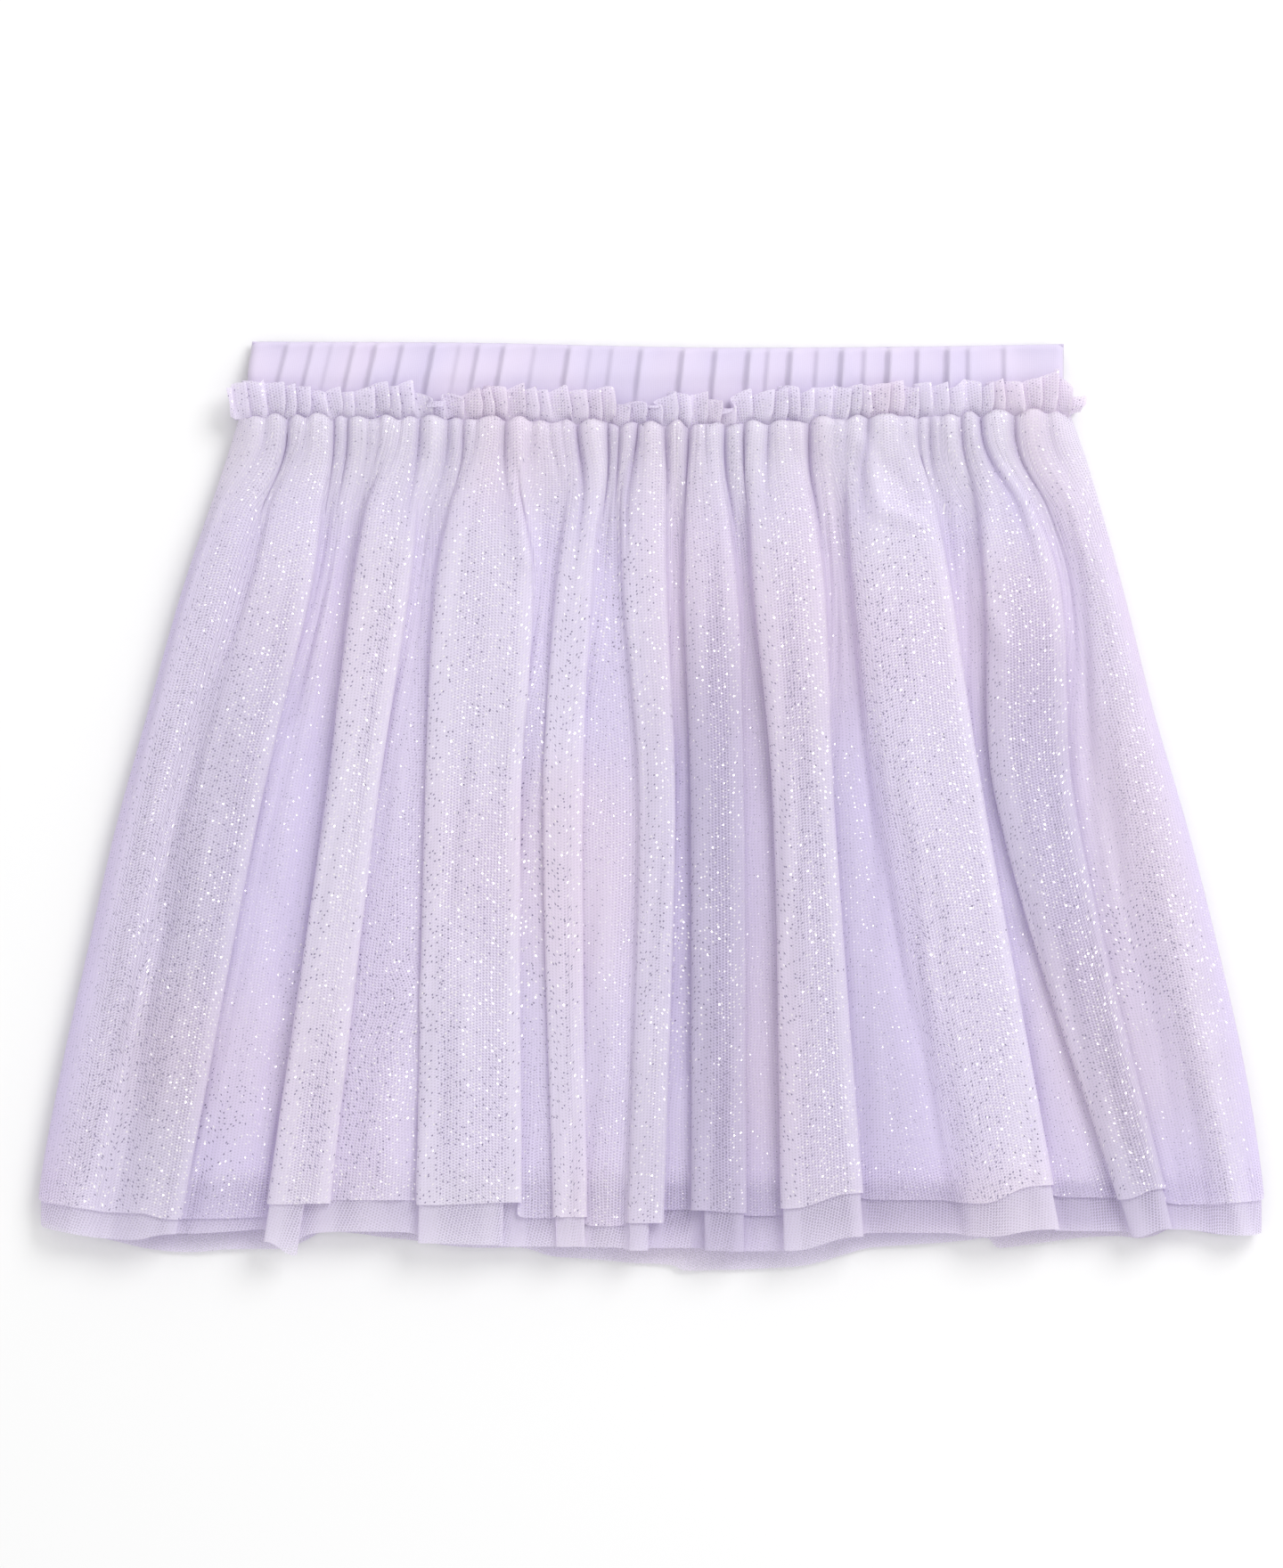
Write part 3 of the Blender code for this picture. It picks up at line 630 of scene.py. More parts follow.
def cloth_map(surface: np.ndarray, row_share: float) -> np.ndarray:
    """Lays the cloth out flat in millimetres, with its width as it is at one row.

    Args:
        surface: Grid of points.
        row_share: Which row gives the width, as a share of the way down.

    Returns:
        Grid of flat places.
    """
    row = surface[round(row_share * (len(surface) - 1))]
    across = np.concatenate([[0.0], np.cumsum(np.linalg.norm(np.diff(row, axis=0), axis=1))])
    steps = np.linalg.norm(np.diff(surface, axis=0), axis=2)
    down = np.concatenate([np.zeros((1, surface.shape[1])), np.cumsum(steps, axis=0)])
    return np.stack([np.broadcast_to(across, down.shape), -down], axis=-1)


def grid_piece(
    name: str,
    surface: np.ndarray,
    flat: np.ndarray,
    material: bpy.types.Material,
    marks: dict[str, np.ndarray] | None = None,
    face_down: bool = False,
    turns: np.ndarray | None = None,
) -> bpy.types.Object:
    """Makes a sheet from a grid whose vertices are moved to their places.

    Args:
        name: The piece's name.
        surface: Rows of points in millimetres, from the waist down and from left to right.
        flat: The same grid laid flat in millimetres, for the cloth's patterns.
        material: The piece's material.
        marks: Named values for each point, for the material.
        face_down: Whether the cloth's outer side looks down.
        turns: For each row and column of faces, the flat place of its fold's middle, the place that this middle
            takes in the pattern, and how far the fold leans. The steps between folds lie in the valleys.

    Returns:
        The new object.
    """
    rows, columns = surface.shape[0] - 1, surface.shape[1] - 1
    mesh = bmesh.new()
    bmesh.ops.create_grid(mesh, x_segments=columns, y_segments=rows, size=0.5)
    if face_down:
        bmesh.ops.reverse_faces(mesh, faces=list(mesh.faces))
    data = bpy.data.meshes.new(name)
    mesh.to_mesh(data)
    mesh.free()
    parameters = np.empty(len(data.vertices) * 3)
    data.vertices.foreach_get("co", parameters)
    parameters = parameters.reshape(-1, 3)
    column = np.rint((parameters[:, 0] + 0.5) * columns).astype(int)
    row = np.rint((0.5 - parameters[:, 1]) * rows).astype(int)
    data.vertices.foreach_set("co", (surface[row, column] * MM).ravel())
    corner = np.empty(len(data.loops), dtype=np.int32)
    data.loops.foreach_get("vertex_index", corner)
    places = flat[row, column][corner].astype(np.float32)
    if turns is not None:
        face_column = column[corner].reshape(-1, 4).min(axis=1).repeat(4)
        middle, target, lean = turns[row[corner], face_column].T
        aside = places[:, 0] - middle
        places[:, 0] = target + aside * np.cos(lean)
        places[:, 1] -= aside * np.sin(lean)
    cloth = data.uv_layers.new(name="cloth")
    cloth.uv.foreach_set("vector", places.ravel())
    for mark, values in (marks or {}).items():
        attribute = data.attributes.new(mark, "FLOAT", "POINT")
        attribute.data.foreach_set("value", values[row, column].astype(np.float32))
    data.materials.append(material)
    data.shade_smooth()
    data.update()
    piece = bpy.data.objects.new(name, data)
    bpy.context.scene.collection.objects.link(piece)
    return piece


def thicken(piece: bpy.types.Object, wall: float) -> None:
    """Gives a knit piece its wall, inwards from its outer side.

    Args:
        piece: The piece.
        wall: Thickness of the wall.
    """
    shell = piece.modifiers.new("wall", "SOLIDIFY")
    shell.thickness = wall * MM
    shell.offset = -1.0


def fold_edges(index: int, y: float) -> tuple[float, float]:
    """Returns the left and right edge of a fold at height y."""
    fold = FRONT_FOLDS[index]
    return curve(FOLD_LEVELS, fold.left, y), curve(FOLD_LEVELS, fold.right, y)


def valley_z(y: float) -> float:
    """Returns the height of the deepest valleys, over the band at the waist and on the shorts below it."""
    return mix(SEAM_Z, VALLEY_Z, ramp(WAIST_Y - y, 2.0, 16.0))


@dataclass
class FrontDrape:
    """The folded surface that the two front tulle layers share.

    Attributes:
        splits: Fine columns for each control point of the section.
        rows: Rows from the gathering line to the hem.
        row_crowding: Power that crowds the rows towards the gathering line.
        gather_height: Swell of the small gathers.
        gather_fade: Distance below the seam over which the gathers merge into the folds.
        groove_reach: How far a groove of depth 0.4 runs down. A deeper one runs further.
        groove_width: Half width of a groove.
        groove_depth: What a groove's depth is multiplied with.
        strong: Depth from which a groove parts two gathers.
        weak_share: Share of their depth that the weaker grooves keep.
        deepest: Depth from which a groove runs down no further.
        roll: How far the tops of the gathers roll up over the gathering line.
        shoulder: How far the cloth rises just below the gathering line.
        small_height: Swell of the smallest gathers, which merge soon.
        streak_height: Height of the finest streaks that run down the cloth.
        ripple_height: Height of the soft ripples that run down the folds.
        crumple_height: Height of the broad soft crumples.
        full_lift: Height above a valley from which the cloth counts as a ridge.
        edge_band: Width of the denser band along a fold's edge, where the cloth is double.
        valley_width: Half width of the cloth between two gathers, where the net is denser and shade is painted.
        valley_shade: How strongly that painted shade darkens it.
        gather_closed: How closed the net is where it is gathered.
        between_closed: How much more closed it is between two gathers.
        shorts_shade: How strongly shade is painted on the valleys below the shorts.
        columns: Control points of a section, from left to right.
        seam_places: Where each of them lies on the gathering line.
    """

    splits: int = 6
    rows: int = 110
    row_crowding: float = 1.5
    gather_height: float = 1.2
    gather_fade: float = 34.0
    groove_reach: float = 21.0
    groove_width: float = 1.05
    groove_depth: float = 0.5
    strong: float = 1.0
    weak_share: float = 0.6
    deepest: float = 2.4
    roll: float = 2.0
    shoulder: float = 0.9
    small_height: float = 0.9
    streak_height: float = 0.12
    ripple_height: float = 0.3
    crumple_height: float = 0.45
    full_lift: float = 6.0
    edge_band: float = 7.0
    valley_width: float = 2.3
    valley_shade: float = 0.2
    gather_closed: float = 0.55
    between_closed: float = 0.4
    shorts_shade: float = 0.8
    columns: list[Column] = field(default_factory=list)
    seam_places: list[float] = field(default_factory=list)

    def __post_init__(self) -> None:
        """Lists the control points of a section, and where each lies on the gathering line."""
        self.columns = [Column("left", index) for index in range(SIDE_COLUMNS)]
        for index, fold in enumerate(FRONT_FOLDS):
            soft = fold.under_left == 0.0 and fold.under_right == 0.0
            self.columns += [Column(part, index) for part in (SOFT_PARTS if soft else FOLD_PARTS)]
            if index < len(FRONT_FOLDS) - 1:
                self.columns.append(Column("valley", index))
        self.columns += [Column("right", index) for index in reversed(range(SIDE_COLUMNS))]
        self.seam_places = [self.seam_place(number) for number in range(len(self.columns))]

    def side_point(self, side: Side, index: int, y: float) -> tuple[float, float]:
        """Places the control points that turn the front down to the side seam.

        Args:
            side: Which side seam.
            index: Number of the point, from the seam inwards.
            y: Height on the garment.

        Returns:
            x and z of the point.
        """
        sign = 1 if side is Side.LEFT else -1
        inset = NET_HALF + (0.0, 0.0, SIDE_INSET)[index]
        valley = valley_z(y)
        z = (SIDE_Z - SEAM_OVERLAP, mix(SIDE_Z, valley, SIDE_BEND), valley + SIDE_LIFT)[index]
        return edge_x(OUTLINE, y, side) + sign * inset, z

    def fold_point(self, part: str, index: int, y: float, layer: Layer = Layer.GLITTER) -> tuple[float, float]:
        """Places one control point of a fold, or of the valley on its right.

        Args:
            part: Which point of the fold.
            index: Number of the fold.
            y: Height on the garment.
            layer: Which tulle. Some folds of the plain one are narrower at the hem.

        Returns:
            x and z of the point.
        """
        fold = FRONT_FOLDS[index]
        left, right = fold_edges(index, y)
        below = WAIST_Y - y
        if layer is Layer.PLAIN and fold.name in PLAIN_INSETS:
            inset = ramp(below, INSET_START, INSET_END)
            left += PLAIN_INSETS[fold.name][0] * inset
            right -= PLAIN_INSETS[fold.name][1] * inset
        rise = mix(SEAM_RISE, 1.0, ramp(below, 0.0, FOLD_RISE))
        tuck = ramp(below, TUCK_START, TUCK_END)
        floor_right = fold.floor * rise
        floor_left = FRONT_FOLDS[max(index - 1, 0)].floor * rise
        top = fold.height * FOLD_SINK * rise
        if part == "valley":
            next_left = fold_edges(index + 1, y)[0]
            swell = fold.swell * ramp(below, FOLD_RISE, SWELL_END)
            return (right + next_left) / 2, valley_z(y) + floor_right + swell
        if fold.name in SOFT_SLOPES and part in ("low_left", "high_left", "crest_left"):
            soft = ramp(below, SLOPE_START, SLOPE_END)
            along, steep, gentle = {"low_left": (0.2, LOW_SHARE, 0.25), "high_left": (0.65, HIGH_SHARE, 0.75),
                                    "crest_left": (1.1, 1.0, 1.0)}[part]
            x = left + along * SOFT_SLOPES[fold.name] * soft
            if part == "crest_left":
                x = max(x, mix(left, right, CREST_LEFT))
            return x, valley_z(y) + mix(floor_left, top, mix(steep, gentle, soft))
        shapes = {
            "foot_left": (left, floor_left),
            "crest": ((left + right) / 2, SOFT_CREST * min(top, SOFTEST_SHARE * (right - left))),
            "foot_right": (right, floor_right),
            "under_left": (left + mix(-OPEN_SLOPE, fold.under_left, tuck), floor_left),
            "low_left": (left, mix(floor_left, top, LOW_SHARE)),
            "high_left": (left, mix(floor_left, top, HIGH_SHARE)),
            "crest_left": (mix(left, right, CREST_LEFT), top),
            "crest_right": (mix(left, right, CREST_RIGHT), top),
            "high_right": (right, mix(floor_right, top, HIGH_SHARE)),
            "low_right": (right, mix(floor_right, top, LOW_SHARE)),
            "under_right": (right - mix(-OPEN_SLOPE, fold.under_right, tuck), floor_right),
        }
        x, z = shapes[part]
        return x, valley_z(y) + z

    def seam_place(self, number: int) -> float:
        """Finds where a control point lies on the gathering line, spread evenly within its fold.

        Args:
            number: Number of the point in a section.

        Returns:
            x of the point.
        """
        part, index = self.columns[number]
        if part in CORNER_LIFTS:
            return self.side_point(Side(part), index, WAIST_Y)[0]
        members = [k for k, other in enumerate(self.columns)
                   if other.index == index and other.part not in CORNER_LIFTS]
        last = index == len(FRONT_FOLDS) - 1
        margin = SIDE_INSET / 2
        lower = self.side_point(Side.LEFT, 2, WAIST_Y)[0] + margin
        if index:
            lower = self.fold_point("valley", index - 1, WAIST_Y)[0]
        upper = self.side_point(Side.RIGHT, 2, WAIST_Y)[0] - margin
        if not last:
            upper = self.fold_point("valley", index, WAIST_Y)[0]
        return mix(lower, upper, (members.index(number) + 1) / (len(members) + (1 if last else 0)))

    def hem_y(self, column: Column, layer: Layer) -> float:
        """Finds the hem at a control point.

        Args:
            column: The control point.
            layer: Which tulle.

        Returns:
            y of the hem.
        """
        hems = [fold.glitter_hem if layer is Layer.GLITTER else fold.plain_hem for fold in FRONT_FOLDS]
        if column.part in CORNER_LIFTS:
            left = column.part == "left"
            return hems[0 if left else -1][0 if left else 1] + CORNER_LIFTS[column.part][column.index]
        left, right, valley = hems[column.index]
        if column.part == "under_left":
            return hems[max(column.index - 1, 0)][2]
        if column.part in ("valley", "under_right"):
            return valley
        if column.part == "crest":
            return (left + right) / 2
        return left if column.part.endswith("left") else right

    def section(self, share: float, layer: Layer) -> list[tuple[float, float, float]]:
        """Places the control points of one section.

        Args:
            share: Its place, as a share of the way from the gathering line to the hem.
            layer: Which tulle.

        Returns:
            x, y and z of each point.
        """
        points = []
        for column, seam_x in zip(self.columns, self.seam_places):
            top = seam_y(seam_x) - SEAM_GAP / 2
            y = mix(top, self.hem_y(column, layer), share)
            if column.part in CORNER_LIFTS:
                x, z = self.side_point(Side(column.part), column.index, y)
            else:
                x, z = self.fold_point(column.part, column.index, y, layer)
                x = mix(seam_x, x, ramp(top - y, 0.0, FAN_OUT))
            points.append((x, y, z))
        return points

    def double_bands(self, surface: np.ndarray) -> np.ndarray:
        """Marks the bands along the edges of the folds, where the cloth turns under and lies double.

        Args:
            surface: Grid of points.

        Returns:
            1 in a band and 0 elsewhere.
        """
        bands = np.zeros(surface.shape[:2])
        for index, fold in enumerate(FRONT_FOLDS):
            if fold.under_left == 0.0 and fold.under_right == 0.0:
                continue
            for number, row in enumerate(surface):
                left, right = fold_edges(index, float(row[:, 1].mean()))
                inside = (row[:, 0] > left - 1.0) & (row[:, 0] < right + 1.0)
                from_left = 1.0 - ramps(row[:, 0] - left, self.edge_band * 0.6, self.edge_band * 1.2)
                from_left *= 0.0 if fold.name in SOFT_SLOPES else 1.0
                from_right = 1.0 - ramps(right - row[:, 0], self.edge_band * 0.35, self.edge_band * 0.8)
                bands[number] = np.maximum(bands[number], inside * np.maximum(from_left, from_right))
        return bands

    def painted_fold_shade(self, surface: np.ndarray) -> np.ndarray:
        """Gives the shade painted on each point for the fold that it belongs to, or for the valley after it.

        Args:
            surface: Grid of points.

        Returns:
            0 where no shade is painted, and more where it is.
        """
        painted_shade = np.zeros(surface.shape[:2])
        for index, fold in enumerate(FRONT_FOLDS):
            if fold.name not in PAINTED_SHADE_FOLDS:
                continue
            for number, row in enumerate(surface):
                left, right = fold_edges(index, float(row[:, 1].mean()))
                inside = ramps(row[:, 0], left - 1.5, left + 1.0) * (1.0 - ramps(row[:, 0], right - 1.0, right + 1.5))
                painted_shade[number] = np.maximum(painted_shade[number], PAINTED_SHADE_FOLDS[fold.name] * inside)
                if fold.name in PAINTED_SHADE_VALLEYS:
                    end = fold_edges(index + 1, float(row[:, 1].mean()))[0]
                    inside = (row[:, 0] > right + 0.5) * (1.0 - ramps(row[:, 0], mix(right, end, 0.5), end + 4.0))
                    painted_shade[number] = np.maximum(painted_shade[number], PAINTED_SHADE_VALLEYS[fold.name] * inside)
        return painted_shade

    def pattern(self, surface: np.ndarray) -> tuple[np.ndarray, np.ndarray]:
        """Lays the net over the folds at its true size and turned with each fold.

        Args:
            surface: Grid of points.

        Returns:
            The cloth laid flat, and the turns that grid_piece takes.
        """
        flat = cloth_map(surface, 1.0).copy()
        steps = np.linalg.norm(np.diff(surface, axis=1), axis=2)
        flat[..., 0] = np.concatenate([np.zeros((len(surface), 1)), np.cumsum(steps, axis=1)], axis=1)
        valleys = [k * self.splits for k, column in enumerate(self.columns) if column.part == "valley"]
        ends = [0, *valleys, surface.shape[1] - 1]
        turns = np.zeros((len(surface), surface.shape[1] - 1, 3))
        for start, end in zip(ends[:-1], ends[1:]):
            number = (start + end) // 2
            middle, line = flat[:, number, 0], surface[:, number]
            lean = np.arctan2(np.gradient(line[:, 0]), -np.gradient(line[:, 1]))
            turns[:, start:end] = np.stack([middle, np.full(len(middle), middle[-1]), lean], axis=-1)[:, None]
        return flat, turns

    def surface(self, layer: Layer, offset: float) -> tuple[np.ndarray, dict[str, np.ndarray]]:
        """Works out one layer of the front.

        Args:
            layer: Which tulle.
            offset: How far it lies outside the surface between the two layers.

        Returns:
            The grid of points, and the marks for its material.
        """
        shares = np.linspace(0.0, 1.0, self.rows + 1) ** self.row_crowding
        controls = np.array([self.section(share, layer) for share in shares])
        matrix = spline_matrix(len(self.columns), self.splits)
        surface = np.einsum("nc,rcd->rnd", matrix, controls)
        flat = cloth_map(surface, FLAT_ROW)
        seam_x = matrix @ np.array(self.seam_places)
        below = surface[0, :, 1][None, :] - surface[..., 1]
        floor = np.array([valley_z(float(y)) for y in surface[..., 1].mean(axis=1)])[:, None]
        lift = np.clip((surface[..., 2] - floor) / self.full_lift, 0.0, 1.0)
        normals = normals_of(surface)
        level = np.clip(normals[..., 2:], 0.0, 1.0)
        swell, depth = puffs(seam_x, [g for g in GATHERS if g.depth >= self.strong], self.groove_width)
        weak = puffs(seam_x, [g for g in GATHERS if g.depth < self.strong], self.groove_width)[1]
        depth = depth + self.weak_share * weak
        calm = ramps(seam_x - seam_x[0], 1.0, 6.0) * ramps(seam_x[-1] - seam_x, 1.0, 6.0)
        risen = 0.4 + 0.6 * np.sqrt(ramps(below, -0.5, 4.5))
        fading = 1.0 - ramps(below, self.gather_fade * 0.2, self.gather_fade)
        reach = self.groove_reach * np.array([0.6 + min(value, self.deepest) for value in depth])
        grooves = depth * (1.0 - ramps(below / np.maximum(reach, 1.0)[None, :], 0.25, 1.0))
        small = puffs(seam_x, GATHERS, self.groove_width)[0]
        relief = (self.gather_height * swell[None, :] * fading - self.groove_depth * grooves) * risen
        relief += self.small_height * small[None, :] * risen * (1.0 - ramps(below, 4.0, 24.0))
        streaks = waves(flat[..., 0] + 0.02 * below, (2.7, 3.9, 5.3, 8.1), 11)
        relief += self.streak_height * streaks * (0.5 + 0.8 * fading)
        ripples = waves(flat[..., 0] + 0.04 * below, (9.3, 13.7), 31)
        ripples = ripples * waves(below + 3.0 * flat[..., 0], (71.0, 113.0), 7)
        relief += self.ripple_height * ripples * ramps(below, 8.0, 40.0)
        crumple = waves(surface[..., 0] + 0.5 * below, (31.0, 47.0), 3) * waves(below, (38.0, 61.0), 5)
        relief += self.crumple_height * crumple * ramps(below, 10.0, 50.0)
        relief += crease_lift(surface, CREASES) * level[..., 0]
        relief += self.shoulder * ramps(below, 0.0, 2.5) * (1.0 - ramps(below, 8.0, 40.0))
        surface = surface + normals * (relief * calm)[..., None] * level
        surface[..., 1] += self.roll * small * ramps(below, 0.0, 1.2) * (1.0 - ramps(below, 1.2, 6.0)) * calm
        surface = surface + normals_of(surface) * offset
        # Near the seam the threads take the ridges' lit colour, and in the grooves the valleys' painted shade.
        lift = np.maximum(lift, 1.0 - ramps(below, 10.0, 65.0)) - 0.35 * np.clip(grooves, 0.0, 1.2)
        low = 1.0 - ramps(lift, 0.1, 0.7)
        between = puffs(seam_x, GATHERS, self.valley_width)[1][None, :] * (1.0 - ramps(below, 12.0, 60.0))
        between = np.clip(between, 0.0, 1.5)
        closed = (self.gather_closed + self.between_closed * between) * (1.0 - ramps(below, 12.0, 80.0))
        closed += self.double_bands(surface) * ramps(below, 20.0, 70.0)
        closed = np.maximum(closed, low * (1.0 - ramps(-surface[..., 1], 112.0, 124.0)))
        across, down = surface[..., 0], -surface[..., 1]
        # Painted shadow on the valleys below the shorts' hem, and painted shade on some folds and between the
        # gathers.
        under_shorts = ramps(down, 121.0, 125.0) * (1.0 - ramps(down, 134.0, 142.0))
        under_shorts *= mix(0.35, 0.6, ramps(across, -80.0, 20.0)) * (1.0 - ramps(np.abs(across), 160.0, 185.0))
        painted_shade = np.maximum(self.shorts_shade * low * under_shorts, self.painted_fold_shade(surface) * ramps(below, 30.0, 100.0))
        painted_shade += self.valley_shade * between
        marks = cloth_marks(surface, flat, lift, closed, painted_shade)
        marks["shown"] *= mix(0.7, 1.0, ramps(below, 5.0, 60.0))
        marks["painted_dot_shade"] *= mix(0.4, 1.0, ramps(below, 5.0, 70.0))
        return surface, marks


class Colour(NamedTuple):
    """A colour as linear values."""

    red: float
    green: float
    blue: float
    alpha: float = 1.0


def linear(hex_code: str) -> Colour:
    """Turns an sRGB hex code such as E3D9F0 to a linear colour."""
    values = [int(hex_code[k:k + 2], 16) / 255 for k in (0, 2, 4)]
    return Colour(*(v / 12.92 if v <= 0.04045 else ((v + 0.055) / 1.055) ** 2.4 for v in values))


def add(tree: bpy.types.NodeTree, kind: str, inputs: dict | None = None, **settings: object) -> bpy.types.Node:
    """Adds a node with its settings and links.

    Args:
        tree: The node tree.
        kind: The node's type.
        inputs: Values or sockets for its inputs, by name or number.
        settings: Properties of the node.

    Returns:
        The new node.
    """
    node = tree.nodes.new(kind)
    for name, value in settings.items():
        setattr(node, name, value)
    for name, value in (inputs or {}).items():
        if isinstance(value, bpy.types.NodeSocket):
            tree.links.new(value, node.inputs[name])
        else:
            node.inputs[name].default_value = value
    return node


def blank_material(name: str) -> tuple[bpy.types.Material, bpy.types.NodeTree, bpy.types.Node]:
    """Makes a new material.

    Args:
        name: The material's name.

    Returns:
        The material, its node tree and its Principled shader.
    """
    material = bpy.data.materials.new(name)
    material.use_nodes = True
    return material, material.node_tree, material.node_tree.nodes["Principled BSDF"]


@dataclass(frozen=True)
class Foil:
    """Glitter dots printed on tulle: metal foil that is glued on, so each lies at its own slight tilt.

    Attributes:
        spacing: Distance between dots.
        size: Diameter of a dot.
        share: Share of the places that hold a dot.
        scatter: How uneven the places are, from 0 to 1.
        tilt: How much the dots tilt.
        roughness: Roughness of the foil.
        bright_hex: Colour of a bright dot, a painted glint, mostly on slopes that face the lamp.
        dull_hex: Colour of a dull one, a painted shade, mostly on slopes turned away from it.
    """

    spacing: float = 1.95
    size: float = 0.58
    share: float = 0.78
    scatter: float = 0.85
    tilt: float = 0.55
    roughness: float = 0.3
    bright_hex: str = "FFFAFC"
    dull_hex: str = "958DA7"


@dataclass(frozen=True)
class Tulle:
    """Nylon net of hexagonal cells, knitted so thin that only its white-lilac threads and what lies below show.

    Attributes:
        name: The material's name.
        thread_hex: Colour of the threads on the ridges, where light reaches them from all sides.
        valley_shade_hex: Colour of the threads in the valleys, a painted shade with the colour of the cloth around
            them.
        blush_hex: Faint pink that the layers give in places.
        painted_shade_hex: Colour of the threads where shade is painted, as little light comes back through them.
        column: Distance between the columns of cells.
        row: Height of a cell.
        turn: Angle of the net on the cloth.
        hole: Radius of a hole.
        closed_hole: The same where the cloth is packed or double.
        fuzz: What the fibres cover of a hole.
        closed_fuzz: The same where the cloth is packed or double.
        blur: Half width of the soft edge of a hole.
        through: Share of the light that the threads let through.
        roughness: Roughness of the threads.
        sheen: Sheen of their fibres.
        foil: The glitter, or None.
    """

    name: str
    thread_hex: str
    valley_shade_hex: str
    blush_hex: str
    painted_shade_hex: str
    column: float = 1.06
    row: float = 0.94
    turn: float = 0.0
    hole: float = 0.38
    closed_hole: float = 0.28
    fuzz: float = 0.54
    closed_fuzz: float = 0.86
    blur: float = 0.06
    through: float = 0.45
    roughness: float = 0.6
    sheen: float = 0.2
    foil: Foil | None = None

    def hole_distance(self, tree: bpy.types.NodeTree, flat: bpy.types.NodeSocket) -> bpy.types.NodeSocket:
        """Gives the distance to the nearest hole's middle, from two sets of columns that are half a cell apart.

        Args:
            tree: The node tree.
            flat: Socket of the places on the cloth laid flat.

        Returns:
            Socket of the distance in millimetres.
        """
        pair = (2.0 * self.column, self.row)
        scale = (1.0 / pair[0], 1.0 / pair[1], 1.0)
        place = add(tree, "ShaderNodeMapping", {"Vector": flat, "Scale": scale, "Rotation": (0.0, 0.0, self.turn)})
        distances = []
        for shift in (0.0, 0.5):
            moved = add(tree, "ShaderNodeVectorMath", {0: place.outputs[0], 1: (shift, shift, 0.0)}, operation="ADD")
            cell = add(tree, "ShaderNodeVectorMath", {0: moved.outputs[0]}, operation="FRACTION")
            middle = add(tree, "ShaderNodeVectorMath", {0: cell.outputs[0], 1: (0.5, 0.5, 0.0)}, operation="SUBTRACT")
            real = add(tree, "ShaderNodeVectorMath", {0: middle.outputs[0], 1: (*pair, 0.0)}, operation="MULTIPLY")
            distances.append(add(tree, "ShaderNodeVectorMath", {0: real.outputs[0]}, operation="LENGTH").outputs[1])
        return add(tree, "ShaderNodeMath", {0: distances[0], 1: distances[1]}, operation="MINIMUM").outputs[0]

    def material(self) -> bpy.types.Material:
        """Makes the material, whose net, gathers and glitter follow the cloth laid flat.

        Returns:
            The material.
        """
        material, tree, shader = blank_material(self.name)
        flat = add(tree, "ShaderNodeUVMap", uv_map="cloth").outputs[0]
        lift = add(tree, "ShaderNodeAttribute", attribute_name="lift").outputs["Fac"]
        closed = add(tree, "ShaderNodeAttribute", attribute_name="closed").outputs["Fac"]
        blush = add(tree, "ShaderNodeAttribute", attribute_name="blush").outputs["Fac"]
        painted_shade = add(tree, "ShaderNodeAttribute", attribute_name="painted_shade").outputs["Fac"]
        edge = add(tree, "ShaderNodeMapRange", {"Value": closed, "To Min": self.hole, "To Max": self.closed_hole})
        low = add(tree, "ShaderNodeMath", {0: edge.outputs[0], 1: self.blur}, operation="SUBTRACT").outputs[0]
        high = add(tree, "ShaderNodeMath", {0: edge.outputs[0], 1: self.blur}, operation="ADD").outputs[0]
        fuzz = add(tree, "ShaderNodeMapRange", {"Value": closed, "To Min": self.fuzz, "To Max": self.closed_fuzz})
        cover = add(tree, "ShaderNodeMapRange",
                    {"Value": self.hole_distance(tree, flat), 1: low, 2: high, 3: fuzz.outputs[0]},
                    interpolation_type="SMOOTHSTEP").outputs[0]
        # The threads are painted a shaded colour in the valleys and a lit one on the ridges, and darker still where
        # shade is painted on them.
        painted_height_shade = add(tree, "ShaderNodeMix", {0: lift, 6: linear(self.valley_shade_hex), 7: linear(self.thread_hex)},
                   data_type="RGBA").outputs[2]
        blushed = add(tree, "ShaderNodeMix", {0: blush, 6: painted_height_shade, 7: linear(self.blush_hex)},
                      data_type="RGBA").outputs[2]
        colour = add(tree, "ShaderNodeMix", {0: painted_shade, 6: blushed, 7: linear(self.painted_shade_hex)},
                     data_type="RGBA").outputs[2]
        shader.inputs["Roughness"].default_value = self.roughness
        shader.inputs["Sheen Weight"].default_value = self.sheen
        behind = add(tree, "ShaderNodeBsdfTranslucent", {"Color": colour})
        threads = add(tree, "ShaderNodeMixShader", {0: self.through, 1: shader.outputs[0], 2: behind.outputs[0]})
        if self.foil is None:
            tree.links.new(colour, shader.inputs["Base Color"])
        else:
            dot = self.add_foil(tree, shader, flat, colour)
            cover = add(tree, "ShaderNodeMath", {0: cover, 1: dot}, operation="MAXIMUM").outputs[0]
            thread = add(tree, "ShaderNodeMath", {0: 1.0, 1: dot}, operation="SUBTRACT").outputs[0]
            share = add(tree, "ShaderNodeMath", {0: thread, 1: self.through}, operation="MULTIPLY").outputs[0]
            tree.links.new(share, threads.inputs[0])
        hole = add(tree, "ShaderNodeBsdfTransparent")
        net = add(tree, "ShaderNodeMixShader", {0: cover, 1: hole.outputs[0], 2: threads.outputs[0]})
        tree.links.new(net.outputs[0], tree.nodes["Material Output"].inputs["Surface"])
        return material

